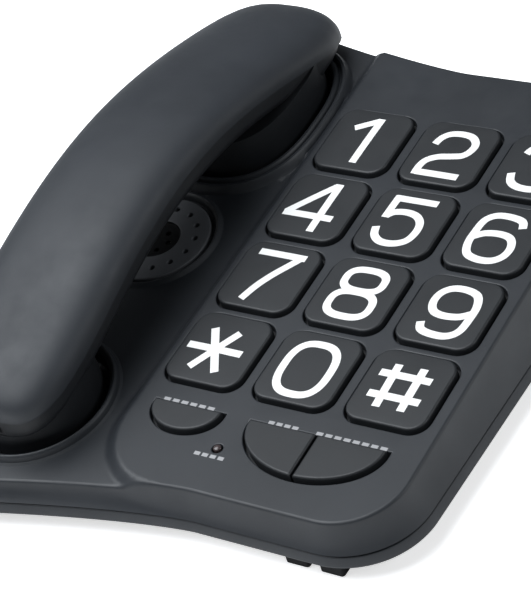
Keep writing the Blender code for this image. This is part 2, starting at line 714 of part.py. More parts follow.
def keycap(name, outline, place):
    """outline(grow, clip) gives the key seen from above, grown all round."""
    flange_low = -KEY_DEPTH
    flange_top = -WALL - GAP - 0.0002
    rings = [
        at_height(outline(KEY_FLANGE), flange_low),
        at_height(outline(KEY_FLANGE), flange_top),
        at_height(outline(0.0), flange_top + 0.0001),
        at_height(outline(0.0), KEY_PROUD - 0.0006),
        at_height(outline(-0.0006), KEY_PROUD),
    ]
    return smooth(add(name, loft(name, rings), KEYCAP, location=place))


def keys():
    def square(grow):
        return rounded_rectangle(KEY_WIDTH, KEY_LENGTH, KEY_CORNER, grow)

    for index, label in enumerate(KEYS):
        keycap(f"key_{label}", square, (*key_place(index), 0))
    for name, x, half_width, height, low, high in FUNCTION_KEYS:
        def moon(grow, half_width=half_width, height=height, low=low, high=high):
            return half_moon(half_width, height, grow, low, high)

        keycap(name, moon, (x, MOON_TOP_Y, 0))


def keypad_stack():
    low_x = -KEY_WIDTH / 2
    high_x = 2 * KEY_PITCH_X + KEYPAD_BOARD_EDGE
    low_y = MOON_TOP_Y - CALL_KEYS_HEIGHT * 0.6
    high_y = KEY_LENGTH / 2
    outline = rounded_rectangle(high_x - low_x, high_y - low_y, BOARD_CORNER, 0, 2)
    centre = ((low_x + high_x) / 2, (low_y + high_y) / 2, 0)
    sheet = prism("keypad_membrane", outline, MEMBRANE_TOP - MEMBRANE_THICKNESS, MEMBRANE_TOP)
    sheet = add("keypad_membrane", sheet, MEMBRANE, centre)
    places = [key_place(index) for index in range(len(KEYS))]
    places += [(MIC_KEY_X, MOON_TOP_Y - MIC_KEY_HEIGHT * 0.5)]
    places += [(CALL_KEYS_X + side * CALL_DOME_X, MOON_TOP_Y - CALL_DOME_Y) for side in (-1, 1)]
    for index, (x, y) in enumerate(places):
        dome = cylinder(f"dome_{index}", DOME_RADIUS, MEMBRANE_TOP - 0.0004, DOME_TOP, 10)
        boolean(sheet, add(f"dome_{index}", dome, location=(x, y, 0)), "UNION")
    top = MEMBRANE_TOP - MEMBRANE_THICKNESS - GAP
    plate = prism("keypad_board", outline, top - BOARD_THICKNESS, top)
    add("keypad_board", plate, BOARD, centre)
    return top - BOARD_THICKNESS


def led_lens():
    """A small round lens held by a wider foot under the panel."""
    under = -WALL - GAP
    foot = under - LED_FLANGE_THICKNESS
    profile = [(0, LED_DOME), (LED_RADIUS, 0.0), (LED_RADIUS, under), (LED_RADIUS + LED_FLANGE, under),
               (LED_RADIUS + LED_FLANGE, foot), (0, foot)]
    smooth(turned("led_lens", profile, LENS, (LED_X, LED_Y, 0), PANEL_FRAME, 16))


# ---------------------------------------------------------------- cradle switch


def cradle_switch():
    under = WELL_FLOOR - WALL
    flange_top = under - PLUNGER_RISE - GAP
    flange_low = flange_top - PLUNGER_FLANGE_THICKNESS
    stem_low = flange_top - PLUNGER_STEM

    def outline(grow):
        return rounded_rectangle(PLUNGER_WIDTH, PLUNGER_LENGTH, PLUNGER_CORNER, grow, 3)

    rings = [
        at_height(outline(-0.0010), stem_low),
        at_height(outline(-0.0010), flange_low - 0.0001),
        at_height(outline(PLUNGER_FLANGE), flange_low),
        at_height(outline(PLUNGER_FLANGE), flange_top),
        at_height(outline(0.0), flange_top + 0.0001),
        at_height(outline(0.0), CUP_BOTTOM - GAP - 0.0005),
        at_height(outline(-0.0005), CUP_BOTTOM - GAP),
    ]
    add("hook_plunger", loft("hook_plunger", rings), KEYCAP, (HANDSET_X, PLUNGER_Y, 0))
    body = box("hook_switch", *SWITCH_SIZE)
    add("hook_switch", body, JACK, (HANDSET_X, PLUNGER_Y, stem_low - GAP - SWITCH_SIZE[2] / 2))


# ---------------------------------------------------------------- ringer speaker


def ringer():
    grille = turned("speaker_grille", [
        (0, SPEAKER_TOP_Z - SPEAKER_HUB_SINK),
        (SPEAKER_HUB_RADIUS - 0.0004, SPEAKER_TOP_Z - SPEAKER_HUB_SINK),
        (SPEAKER_HUB_RADIUS, SPEAKER_TOP_Z), (SPEAKER_RADIUS - 0.0005, SPEAKER_TOP_Z),
        (SPEAKER_RADIUS, SPEAKER_TOP_Z - 0.0005), (SPEAKER_RADIUS, SPEAKER_TOP_Z - SPEAKER_THICKNESS),
        (0, SPEAKER_TOP_Z - SPEAKER_THICKNESS),
    ], GRILLE, (HANDSET_X, SPEAKER_Y, 0), PANEL_FRAME, 36)
    holes = [(SPEAKER_HOLE_RING, SPEAKER_HOLES), (SPEAKER_HUB_HOLE_RING, SPEAKER_HUB_HOLES)]
    for radius, count in holes:
        for i in range(count):
            angle = 2 * math.pi * i / count
            spot = (HANDSET_X + radius * math.cos(angle), SPEAKER_Y + radius * math.sin(angle), 0)
            hole = cylinder(f"grille_hole_{count}_{i}", SPEAKER_HOLE_RADIUS, -0.01, 0.0, 8)
            boolean(grille, add(f"grille_hole_{count}_{i}", hole, location=spot))
    top = DECK_Z - WALL - GAP
    turned("ringer_speaker", [
        (0, top), (SPEAKER_RADIUS - 0.001, top), (SPEAKER_RADIUS - 0.001, top - 0.0012),
        (0.0080, top - 0.0045), (0.0080, top - 0.0070), (0, top - 0.0070),
    ], SPEAKER_METAL, (HANDSET_X, SPEAKER_Y, 0), PANEL_FRAME, 24)


# ---------------------------------------------------------------- jacks, switches, board


def jack(name, size, socket, place, way):
    """A socket block; way is the direction, -1 or 1 along an axis, that it opens to."""
    block = add(name, box(name, *size), JACK, place)
    hole = box(f"{name}_socket", *socket)
    shift = [(size[axis] / 2 - socket[axis] / 2 + SOCKET_SINK) * way[axis] for axis in range(3)]
    spot = [place[axis] + shift[axis] for axis in range(3)]
    grown = add(f"{name}_socket", hole, location=spot)
    return boolean(block, grown)


def jacks():
    place = (LINE_JACK_X, PANEL_REAR + JACK_PROUD - LINE_JACK_SIZE[1] / 2, LINE_JACK_Z)
    jack("line_jack", LINE_JACK_SIZE, LINE_SOCKET, place, (0, 1, 0))
    place = (DECK_LEFT - CORD_JACK_PROUD + CORD_JACK_SIZE[0] / 2, CORD_JACK_Y, CORD_JACK_Z)
    jack("cord_jack", CORD_JACK_SIZE, CORD_SOCKET, place, (-1, 0, 0))


def wall_switches():
    """Slide knobs in the rear wall, each with a flange inside that holds it."""
    for name, x in SLIDER_PLACES:
        outer_y = PANEL_REAR + SLIDER_PROUD
        inner_y = PANEL_REAR - WALL - 0.0012
        rings = []
        steps = ((SLIDER_FLANGE, inner_y - 0.0010), (SLIDER_FLANGE, inner_y),
                 (0.0, inner_y + 0.0001), (0.0, outer_y))
        for grow, y in steps:
            half_x = SLIDER_WIDTH / 2 + grow
            half_z = SLIDER_HEIGHT / 2 + grow
            corners = ((-half_x, -half_z), (half_x, -half_z), (half_x, half_z), (-half_x, half_z))
            rings.append([(cx, y - PANEL_REAR, cz) for cx, cz in corners])
        add(name, loft(name, rings), KEYCAP, (x, PANEL_REAR, SLIDER_Z))


def main_board(under):
    left = PANEL_LEFT + MAIN_BOARD_MARGIN_LEFT
    width = PANEL_RIGHT - MAIN_BOARD_MARGIN_RIGHT - left
    plate = box("main_board", width, MAIN_BOARD_LENGTH, BOARD_THICKNESS)
    add("main_board", plate, BOARD, (left + width / 2, MAIN_BOARD_Y, under - BOARD_SPACING))


# ---------------------------------------------------------------- handset


def parting(y):
    """Height of the joint between the two handset shells."""
    r = (y - PARTING_Y) / (HANDSET_LENGTH / 2 - FALL_RUN_SHORTFALL)
    return PARTING_HEIGHT - PARTING_FALL * r * r - PARTING_SKEW * r ** 3 + PARTING_FLATTEN * r ** 4


def end_round(share, power):
    return max(1 - abs(share) ** power, 0.0) ** (1 / power)


def half_width(share):
    ends = (MOUTH_END_HALF_WIDTH * (1 - share) + EAR_END_HALF_WIDTH * (1 + share)) / 2
    middle = (MOUTH_END_HALF_WIDTH + EAR_END_HALF_WIDTH) / 2 - HANDLE_HALF_WIDTH
    return (ends - middle * (1 - share * share)) * end_round(share, END_ROUNDING)


def crown(share):
    ends = (CROWN_MOUTH * (1 - share) + CROWN_EAR * (1 + share)) / 2
    middle = (CROWN_MOUTH + CROWN_EAR) / 2 - CROWN_MIDDLE
    power = CROWN_EAR_ROUNDING if share > 0 else CROWN_MOUTH_ROUNDING
    return (ends - middle * (1 - share * share)) * end_round(share, power)


def stations(inset):
    """Shares of the half length, -1 at the mouth tip, packed towards the ends."""
    reach = TIP_SHARE - inset / (HANDSET_LENGTH / 2)
    return [reach * math.sin(math.pi * (i / (STATIONS - 1) - 0.5)) for i in range(STATIONS)]


def back_ring(share, inset, under):
    """Section of the handset's back: an arch over a straight line under the parting."""
    y = HANDSET_Y + share * HANDSET_LENGTH / 2
    wide = half_width(share) - inset
    high = crown(share) - inset
    base = parting(y)
    count = 12
    found = [(-wide, y, base - under), (wide, y, base - under)]
    for i in range(count + 1):
        angle = math.pi * i / count
        rise = high * math.sin(angle) if 0 < i < count else 0.0
        found.append((wide * math.cos(angle), y, base + max(rise, 0.0)))
    return found


def handset_outer_shell():
    shell = add("handset_outer_shell", loft("handset_outer_shell", [
        back_ring(share, 0.0, SHELL_LIP) for share in stations(0.0)
    ]), SHELL, (HANDSET_X, 0, 0))
    hollow = add("back_hollow", loft("back_hollow", [
        back_ring(share, HANDSET_WALL, 0.004) for share in stations(HANDSET_WALL)
    ]), location=(HANDSET_X, 0, 0))
    boolean(shell, hollow)
    for index, y in enumerate(HANDSET_SCREW_Y):
        top = parting(y) + CROWN_MIDDLE - 0.0006
        low = handle_bottom(y) + HANDSET_TOWER + GAP
        boss = add(f"back_boss_{index}", cylinder(f"back_boss_{index}", BOSS_RADIUS, low, top, 16),
                   location=(HANDSET_X, y, 0))
        boolean(shell, boss, "UNION")
        deep = low + HANDSET_SCREW_GRIP + SCREW_SINK / 2
        pilot = cylinder(f"back_pilot_{index}", SCREW_RADIUS + GAP, 0, deep, 12)
        boolean(shell, add(f"back_pilot_{index}", pilot, location=(HANDSET_X, y, 0)))
    return smooth(shell)


def handle_bottom(y):
    return max(parting(y) - HANDLE_SIDE, HANDSET_LIFT_OFF)


def front_ring(share, inset, over, under):
    """Section of the inner shell between the cups: sides, rounded below."""
    y = HANDSET_Y + share * HANDSET_LENGTH / 2
    wide = half_width(share) - INNER_INSET - inset
    top = parting(y) - SHELL_LIP - GAP
    base = min(handle_bottom(y) + under, top - 0.0008)
    corner = min(0.0040, (top - base) * 0.6, wide * 0.5)
    found = [(wide, y, top + over), (-wide, y, top + over)]
    for start, x in ((180, -wide + corner), (270, wide - corner)):
        found += [(px, y, pz) for (px, pz), _ in arc((x, base + corner), corner, start, start + 90, 4)]
    return found


def cup(name, outline, grow, low, top):
    rings = [at_height(outline(grow - CUP_EDGE), low), at_height(outline(grow), low + CUP_EDGE),
             at_height(outline(grow), top)]
    return add(name, loft(name, rings))


def above_parting():
    """Space over the inner shell's top edge."""
    beyond = 0.005
    rings = []
    for i in range(STATIONS + 1):
        y = FRONT_TIP - beyond + (HANDSET_LENGTH + 2 * beyond) * i / STATIONS
        low = parting(y) - SHELL_LIP - GAP
        rings.append([(-0.05, y, low), (0.05, y, low), (0.05, y, 0.06), (-0.05, y, 0.06)])
    return add("above_parting", loft("above_parting", rings), location=(HANDSET_X, 0, 0))


def handset_inner_shell():
    shell = add("handset_inner_shell", loft("handset_inner_shell", [
        front_ring(share, 0.0, 0.0, 0.0) for share in stations(INNER_INSET)
    ]), SHELL, (HANDSET_X, 0, 0))
    ear_top = handle_bottom(EAR_WELL_Y) + CUP_TOP_SINK
    mouth_top = handle_bottom(MOUTH_WELL_Y) + CUP_TOP_SINK
    boolean(shell, cup("ear_cup", ear_outline, -CUP_CLEARANCE, CUP_BOTTOM, ear_top), "UNION")
    boolean(shell, cup("mouth_cup", mouth_outline, -CUP_CLEARANCE, CUP_BOTTOM, mouth_top), "UNION")
    wall = HANDSET_WALL
    hollow = add("front_hollow", loft("front_hollow", [
        front_ring(share, wall, 0.006, wall) for share in stations(INNER_INSET + wall)
    ]), location=(HANDSET_X, 0, 0))
    boolean(shell, hollow)
    boolean(shell, above_parting())
    floor = CUP_BOTTOM + wall
    boolean(shell, cup("ear_cup_hollow", ear_outline, -CUP_CLEARANCE - wall, floor, ear_top + 0.004))
    boolean(shell, cup("mouth_cup_hollow", mouth_outline, -CUP_CLEARANCE - wall, floor, mouth_top + 0.004))
    for x, y, radius in sound_holes():
        hole = cylinder(f"sound_hole_{x:.4f}_{y:.4f}", radius, CUP_BOTTOM - 0.002, floor + 0.002, 8)
        boolean(shell, add(f"sound_hole_{x:.4f}_{y:.4f}", hole, location=(HANDSET_X + x, y, 0)))
    for index, y in enumerate(HANDSET_SCREW_Y):
        base = handle_bottom(y)
        radius = SCREW_HEAD_RADIUS + GAP
        tower = cylinder(f"front_tower_{index}", radius + HANDSET_TOWER_WALL, base + 0.0008,
                         base + HANDSET_TOWER, 16)
        boolean(shell, add(f"front_tower_{index}", tower, location=(HANDSET_X, y, 0)), "UNION")
        head = cylinder(f"front_head_{index}", radius, base - 0.004, base + HANDSET_HEAD_ROOM, 16)
        boolean(shell, add(f"front_head_{index}", head, location=(HANDSET_X, y, 0)))
        shank = cylinder(f"front_shank_{index}", SCREW_RADIUS + GAP, base - 0.004, base + 0.010, 12)
        boolean(shell, add(f"front_shank_{index}", shank, location=(HANDSET_X, y, 0)))
    width, _, height = HANDSET_JACK_SIZE
    opening = box("handset_jack_opening", width + 2 * GAP, 0.02, height + 2 * GAP)
    boolean(shell, add("handset_jack_opening", opening, location=(HANDSET_X, FRONT_TIP, HANDSET_JACK_Z)))
    return smooth(shell)


def sound_holes():
    """x, y and radius of the holes in the ear cup and the mouth cup."""
    found = [(0.0, EAR_WELL_Y, SOUND_HOLE_RADIUS), (0.0, MOUTH_WELL_Y, MOUTH_HOLE_RADIUS)]
    for x, y in moved(tube_outline(SOUND_HOLE_RING, 6), 0.0, EAR_WELL_Y):
        found.append((x, y, SOUND_HOLE_RADIUS))
    return found


def handset_insides():
    floor = CUP_BOTTOM + HANDSET_WALL + GAP
    top = floor + RECEIVER_HEIGHT
    turned("receiver", [(0, top), (RECEIVER_RADIUS - 0.0015, top), (RECEIVER_RADIUS, floor), (0, floor)],
           SPEAKER_METAL, (HANDSET_X, EAR_WELL_Y, 0), PANEL_FRAME, 24)
    top = floor + MICROPHONE_HEIGHT
    turned("microphone", [(0, top), (MICROPHONE_RADIUS, top), (MICROPHONE_RADIUS, floor), (0, floor)],
           SPEAKER_METAL, (HANDSET_X, MOUTH_WELL_Y, 0), PANEL_FRAME, 20)
    weight = box("handset_weight", *WEIGHT_SIZE)
    add("handset_weight", weight, STEEL, (HANDSET_X, HANDSET_Y, handle_bottom(HANDSET_Y) + WEIGHT_RISE))
    jack_y = FRONT_TIP + INNER_INSET + HANDSET_JACK_SINK + HANDSET_JACK_SIZE[1] / 2
    place = (HANDSET_X, jack_y, HANDSET_JACK_Z)
    jack("handset_jack", HANDSET_JACK_SIZE, HANDSET_SOCKET, place, (0, -1, 0))
    for index, y in enumerate(HANDSET_SCREW_Y):
        seat = handle_bottom(y) + HANDSET_HEAD_ROOM - GAP
        tip = handle_bottom(y) + HANDSET_TOWER + HANDSET_SCREW_GRIP
        low = seat - SCREW_HEAD_HEIGHT
        profile = [(0, tip), (SCREW_RADIUS, tip - SCREW_POINT), (SCREW_RADIUS, seat),
                   (SCREW_HEAD_RADIUS, seat), (SCREW_HEAD_RADIUS * 0.8, low), (0, low)]
        turned(f"handset_screw_{index + 1}", profile, STEEL, (HANDSET_X, y, 0), PANEL_FRAME, 16)


# ---------------------------------------------------------------- assembly

base_upper_shell()
base_lower_shell()
base_screws()
feet()
keys()
main_board(keypad_stack())
led_lens()
cradle_switch()
ringer()
jacks()
wall_switches()
handset_outer_shell()
handset_inner_shell()
handset_insides()
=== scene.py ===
"""Looks of the corded big-button desk telephone, built round its CAD frame.

Every piece is modelled in the frame of the key panel: X to the right, Y up the
keypad, Z out of the panel, with the origin at the middle of the first key.
Sizes are in metres, except in the glyph tables, which are in millimetres.
"""

import contextlib
import json
import math

import bmesh
import bpy
import numpy as np
from mathutils import Matrix, Vector
from mathutils.geometry import delaunay_2d_cdt


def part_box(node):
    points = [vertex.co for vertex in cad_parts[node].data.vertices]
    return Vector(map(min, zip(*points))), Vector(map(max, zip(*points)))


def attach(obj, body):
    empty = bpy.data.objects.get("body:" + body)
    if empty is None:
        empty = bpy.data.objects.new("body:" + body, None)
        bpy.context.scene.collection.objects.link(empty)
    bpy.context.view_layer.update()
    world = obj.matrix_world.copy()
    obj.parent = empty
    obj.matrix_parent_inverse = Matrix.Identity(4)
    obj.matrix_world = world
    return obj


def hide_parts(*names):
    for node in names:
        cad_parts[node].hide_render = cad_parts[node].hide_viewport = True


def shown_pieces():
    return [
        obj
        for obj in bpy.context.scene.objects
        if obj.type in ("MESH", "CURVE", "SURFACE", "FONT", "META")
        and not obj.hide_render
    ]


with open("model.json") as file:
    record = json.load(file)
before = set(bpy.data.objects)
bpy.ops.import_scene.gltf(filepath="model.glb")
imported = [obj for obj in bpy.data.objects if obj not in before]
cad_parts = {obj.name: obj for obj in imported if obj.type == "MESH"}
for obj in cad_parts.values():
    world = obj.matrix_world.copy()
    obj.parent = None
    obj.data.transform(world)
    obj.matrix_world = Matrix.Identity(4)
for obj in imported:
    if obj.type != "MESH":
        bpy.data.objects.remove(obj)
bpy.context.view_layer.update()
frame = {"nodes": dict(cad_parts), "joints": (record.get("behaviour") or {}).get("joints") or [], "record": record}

MM = 0.001

# ---- the panel's frame

LIFT = next(joint for joint in frame["joints"] if joint["name"] == "handset_lift")
TILT = math.atan2(-LIFT["axis"][1], LIFT["axis"][2])
LEAN = np.array(Matrix.Rotation(TILT, 3, "X"))


def leaned_box(node):
    """A CAD node's lowest and highest corner once the panel is turned level."""
    mesh = frame["nodes"][node].data
    flat = np.array([vertex.co for vertex in mesh.vertices]) @ LEAN
    return flat.min(0), flat.max(0)


_low, _high = leaned_box("key_1")
_origin = (_low + _high) / 2
_origin[2] = leaned_box("base_upper_shell")[1][2]
PANEL = Matrix.Rotation(TILT, 4, "X") @ Matrix.Translation(_origin)


def span(node):
    """A CAD node's box in the panel's frame."""
    low, high = leaned_box(node)
    return low - _origin, high - _origin


def middle(node):
    low, high = span(node)
    return (low + high) / 2


# ---- sizes

# The base's outline, as the CAD draws it
BODY_LOW, BODY_HIGH = span("base_lower_shell")
FLARE = 0.0040
SEAM_FLARE = 0.0032
SEAM_HEIGHT = 0.0045
SEAM_GAP = 0.0003
PANEL_RIGHT = BODY_HIGH[0] - FLARE
PANEL_FRONT = middle("key_0")[1] - 0.0483
PANEL_REAR = 0.0370
PANEL_LEFT = -0.0150
BODY_FRONT_DEPTH = 0.0145
STEP_RUN = 0.0045
STEP_DROP = 0.0030
CORNER_FRONT_RIGHT = 0.0200
CORNER_REAR_RIGHT = 0.0140
CORNER_FRONT_LEFT = 0.0260
CORNER_REAR_LEFT = 0.0240
SWEEP_START_X = 0.0180
SWEEP_POWER = 1.35
DECK_LEFT = BODY_LOW[0] + FLARE
DECK_FRONT = BODY_LOW[1] + FLARE
DECK_REAR = BODY_HIGH[1] - FLARE

# The handset, as the CAD draws it
HANDSET_X = middle("handset_outer_shell")[0]
FRONT_TIP, REAR_TIP = (float(span("handset_outer_shell")[i][1]) for i in (0, 1))
HANDSET_Y = (FRONT_TIP + REAR_TIP) / 2
HANDSET_LENGTH = REAR_TIP - FRONT_TIP
HANDLE_HALF_WIDTH = 0.0215
EAR_END_HALF_WIDTH = 0.0261
MOUTH_END_HALF_WIDTH = 0.0243
END_ROUNDING = 5.0
PARTING_HEIGHT = 0.0268
PARTING_Y = -0.0504
PARTING_FALL = 0.0169
PARTING_FLATTEN = 0.0036
PARTING_SKEW = 0.0016
PARTING_RUN = HANDSET_LENGTH / 2 - 0.0225
CROWN_MIDDLE = 0.0085
CROWN_EAR = 0.0116
CROWN_MOUTH = 0.0138
CROWN_EAR_ROUNDING = 7.0
CROWN_MOUTH_ROUNDING = 3.2
INNER_INSET = 0.0012
HANDLE_SIDE = 0.0088
HANDSET_LIFT_OFF = 0.0014
SHELL_LIP = 0.0008
CUP_BOTTOM = float(span("handset_inner_shell")[0][2])
CUP_CLEARANCE = 0.0022

# The cradle
EAR_WELL_HALF_WIDTH = 0.0256
EAR_WELL_HALF_LENGTH = 0.0306
EAR_WELL_POWER = 2.6
EAR_WELL_Y = float(middle("receiver")[1])
MOUTH_WELL_RADIUS = 0.0222
MOUTH_WELL_Y = float(middle("microphone")[1])
RIM_WIDTH = 0.0027
EAR_RIM_WIDTH = 0.0046
WELL_FLOOR = -0.0092
WELL_DRAFT = 0.0012
SPEAKER_RADIUS = float(span("speaker_grille")[1][0] - span("speaker_grille")[0][0]) / 2
SPEAKER_Y = float(middle("speaker_grille")[1])
SPEAKER_BEAD = 0.0042  # from the disc's edge to the outside of its bead

# Keys
KEY_FLANGE = 0.0016
KEY_CORNER = 0.0050
KEY_CLEARANCE = 0.0008
MOON_SIDE = 0.0008
CALL_KEYS_SPLIT = 0.0004
KEY_TOP = float(span("key_1")[1][2])
KEY_LOW = float(span("key_1")[0][2])
WALL = 0.0022
GAP = 0.0003  # round the jacks and the slide switches
SLIDER_REACH = 0.0020
SLIDER_FLANGE = 0.0012


def bottom(y):
    """Height of the base's bottom edge, which is level when the panel leans."""
    return -BODY_FRONT_DEPTH - math.tan(TILT) * (y - PANEL_FRONT)


def seam(y):
    return SEAM_HEIGHT + bottom(y)


# ---- materials

# Scales of the noise, per metre
CLOUD_SCALE = 38
SPECKLE_SCALE = 2600
GLOSS_SCALE = 90
GRAIN_SCALE = 4200
METAL_GRAIN = 4e-6
PLASTIC_SPECULAR = 0.42
HUB_SPECULAR = 0.12
COAT_ROUGHNESS = 0.35


def plastic(name, colour, roughness, grain, streak=0.10, coat=0.0):
    """Moulded plastic: spark-eroded grain, cloudy colour and uneven gloss.

    grain is the height of the texture in metres.
    """
    made = bpy.data.materials.new(name)
    made.use_nodes = True
    link = made.node_tree.links.new
    shader = made.node_tree.nodes["Principled BSDF"]
    shader.inputs["Specular IOR Level"].default_value = PLASTIC_SPECULAR
    shader.inputs["Coat Weight"].default_value = coat
    shader.inputs["Coat Roughness"].default_value = COAT_ROUGHNESS

    def node(kind, values):
        added = made.node_tree.nodes.new("ShaderNode" + kind)
        for socket, value in values.items():
            added.inputs[socket].default_value = value
        return added

    coordinates = node("TexCoord", {})

    def noise(scale, detail, rough=0.55):
        added = node("TexNoise", {"Scale": scale, "Detail": detail, "Roughness": rough})
        link(coordinates.outputs["Object"], added.inputs["Vector"])
        return added.outputs["Fac"]

    def ramp(source, low, high):
        added = node("MapRange", {"From Min": 0.3, "From Max": 0.7, "To Min": low, "To Max": high})
        link(source, added.inputs["Value"])
        return added.outputs["Result"]

    blend = node("Math", {})
    blend.operation = "ADD"
    link(ramp(noise(CLOUD_SCALE, 4), -streak, streak), blend.inputs[0])
    link(ramp(noise(SPECKLE_SCALE, 2), 1 - streak / 2, 1 + streak / 2), blend.inputs[1])
    tint = node("VectorMath", {0: colour})
    tint.operation = "SCALE"
    link(blend.outputs["Value"], tint.inputs["Scale"])
    link(tint.outputs["Vector"], shader.inputs["Base Color"])
    gloss = ramp(noise(GLOSS_SCALE, 5, 0.65), roughness - 0.05, roughness + 0.07)
    link(gloss, shader.inputs["Roughness"])
    bump = node("Bump", {"Distance": grain, "Strength": 0.8})
    link(noise(GRAIN_SCALE, 3, 0.6), bump.inputs["Height"])
    link(bump.outputs["Normal"], shader.inputs["Normal"])
    return made


def metal(name, colour, roughness):
    made = plastic(name, colour, roughness, METAL_GRAIN)
    made.node_tree.nodes["Principled BSDF"].inputs["Metallic"].default_value = 1.0
    return made


SHELL = plastic("shell_satin", (0.0205, 0.0232, 0.0275), 0.44, 9e-6)
HANDSET = plastic("handset_satin", (0.0250, 0.0283, 0.0338), 0.54, 5e-6)
# Painted shade: the handset's inner shell is the same plastic as its back, darkened to about half to paint the
# shade it sits in under the handset.
HANDSET_FRONT_SHADED = plastic("handset_front_painted_shade", (0.0105, 0.0118, 0.0140), 0.50, 5e-6)
KEYCAP = plastic("key_satin", (0.0170, 0.0188, 0.0212), 0.46, 8e-6)
GRILLE = plastic("grille_matt", (0.0900, 0.0950, 0.1030), 0.52, 1.2e-5)
# Painted shade: the hub's near-black colour and weak specular paint the shade inside its sunken recess.
HUB_PAINTED_SHADE = plastic("hub_painted_shade", (0.0030, 0.0032, 0.0036), 0.62, 1.2e-5)
HUB_PAINTED_SHADE.node_tree.nodes["Principled BSDF"].inputs["Specular IOR Level"].default_value = HUB_SPECULAR
PRINT = plastic("print_white", (0.86, 0.86, 0.85), 0.55, 3e-6, 0.03)
LABEL = plastic("label_grey", (0.33, 0.33, 0.34), 0.60, 3e-6, 0.05)
RUBBER = plastic("foot_rubber", (0.013, 0.013, 0.014), 0.85, 3e-5)
MEMBRANE = plastic("membrane_silicone", (0.44, 0.44, 0.41), 0.70, 2e-5)
BOARD = plastic("board_green", (0.045, 0.19, 0.085), 0.50, 1e-5, 0.25)
LENS = plastic("led_smoked", (0.050, 0.036, 0.036), 0.18, 2e-6, 0.05, 0.5)
JACK = plastic("jack_black", (0.018, 0.018, 0.020), 0.42, 8e-6)
STEEL = metal("screw_zinc", (0.56, 0.56, 0.54), 0.34)
SPEAKER_METAL = metal("speaker_can", (0.33, 0.33, 0.32), 0.42)
FINISHES = {
    "shell_plastic": SHELL,
    "key_plastic": KEYCAP,
    "grille_plastic": GRILLE,
    "foot_rubber": RUBBER,
    "membrane_rubber": MEMBRANE,
    "circuit_board": BOARD,
    "led_lens": LENS,
    "screw_steel": STEEL,
    "speaker_metal": SPEAKER_METAL,
    "jack_plastic": JACK,
    "key_print": PRINT,
}

# ---- mesh builder

SMALLEST_CORNER = 0.0002
PIECE_ANGLE = 35  # edges sharper than this, in degrees, stay sharp


@contextlib.contextmanager
def editing(mesh):
    """A bmesh of the mesh, written back at the end."""
    shape = bmesh.new()
    shape.from_mesh(mesh)
    yield shape
    shape.to_mesh(mesh)
    shape.free()


class Build:
    """A mesh put together from rings of points joined by strips."""

    def __init__(self):
        self.points = []
        self.faces = []

    def ring(self, points):
        start = len(self.points)
        self.points += [tuple(float(v) for v in point) for point in points]
        return list(range(start, len(self.points)))

    def strip(self, low, high, closed=True):
        count = len(low)
        for i in range(count if closed else count - 1):
            j = (i + 1) % count
            self.faces.append((low[i], low[j], high[j], high[i]))
        return high

    def chain(self, rings):
        """Joins rings of points one after another; returns the first and last."""
        made = [self.ring(points) for points in rings]
        for low, high in zip(made, made[1:]):
            self.strip(low, high)
        return made[0], made[-1]

    def solid(self, rings):
        """Joins rings one after another and fills both ends."""
        first, last = self.chain(rings)
        self.faces += [tuple(first), tuple(last)]

    def fan(self, ring, centre):
        tip = self.ring([centre])[0]
        count = len(ring)
        self.faces += [(ring[i], ring[(i + 1) % count], tip) for i in range(count)]

    def anticlockwise(self, loop):
        spots = [self.points[i] for i in loop]
        area = sum(a[0] * b[1] - b[0] * a[1] for a, b in zip(spots, spots[1:] + spots[:1]))
        return loop if area > 0 else loop[::-1]

    def plate(self, outer, height, holes=(), extra=()):
        """Fills from the ring outer to the rings holes, with extra points at height(x, y)."""
        loops = [self.anticlockwise(loop) for loop in [outer] + list(holes)]
        used = [index for loop in loops for index in loop]
        flat = [Vector((self.points[i][0] / MM, self.points[i][1] / MM)) for i in used]
        flat += [Vector((x / MM, y / MM)) for x, y in extra]
        faces, at = [], 0
        for loop in loops:
            faces.append(list(range(at, at + len(loop))))
            at += len(loop)
        spots, _, made, sources, _, owners = delaunay_2d_cdt(flat, [], faces, 1, 1e-5)
        index = []
        for spot, source in zip(spots, sources):
            known = [s for s in source if s < len(used)]
            if known:
                index.append(used[known[0]])
            else:
                x, y = spot.x * MM, spot.y * MM
                index += self.ring([(x, y, height(x, y))])
        for face, owner in zip(made, owners):
            if list(owner) == [0]:
                self.faces.append(tuple(index[i] for i in face))

    def mesh(self, name):
        made = bpy.data.meshes.new(name)
        made.from_pydata(self.points, [], self.faces)
        return made

    def piece(self, name, finish, body, angle=PIECE_ANGLE, outward=True, weighted=True):
        """The finished object, in place and riding on its body."""
        mesh = self.mesh(name)
        with editing(mesh) as shape:
            bmesh.ops.remove_doubles(shape, verts=shape.verts, dist=1e-7)
            bmesh.ops.recalc_face_normals(shape, faces=shape.faces)
            top = max(shape.faces, key=lambda face: face.calc_center_median().z)
            if outward and top.normal.z < 0:
                bmesh.ops.reverse_faces(shape, faces=shape.faces)
        return place(name, mesh, finish, body, angle, weighted)


def show(made):
    """Links a new object to the scene."""
    bpy.context.scene.collection.objects.link(made)
    return made


def place(name, mesh, finish, body, angle=PIECE_ANGLE, weighted=True):
    made = show(bpy.data.objects.new(name, mesh))
    made.matrix_world = PANEL
    mesh.materials.clear()
    mesh.materials.append(finish)
    mesh.shade_smooth()
    mesh.set_sharp_from_angle(angle=math.radians(angle))
    if weighted:
        even = made.modifiers.new("even_normals", "WEIGHTED_NORMAL")
        even.keep_sharp = True
        even.weight = 60
    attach(made, body)
    return made


def polar(radius, angle, x=0.0, y=0.0):
    return x + radius * math.cos(angle), y + radius * math.sin(angle)


def arc(x, y, radius, start, stop, count):
    """Points and outward normals along an arc, angles in degrees."""
    angles = [math.radians(start + (stop - start) * i / count) for i in range(count + 1)]
    return [(polar(radius, angle, x, y), polar(1.0, angle)) for angle in angles]


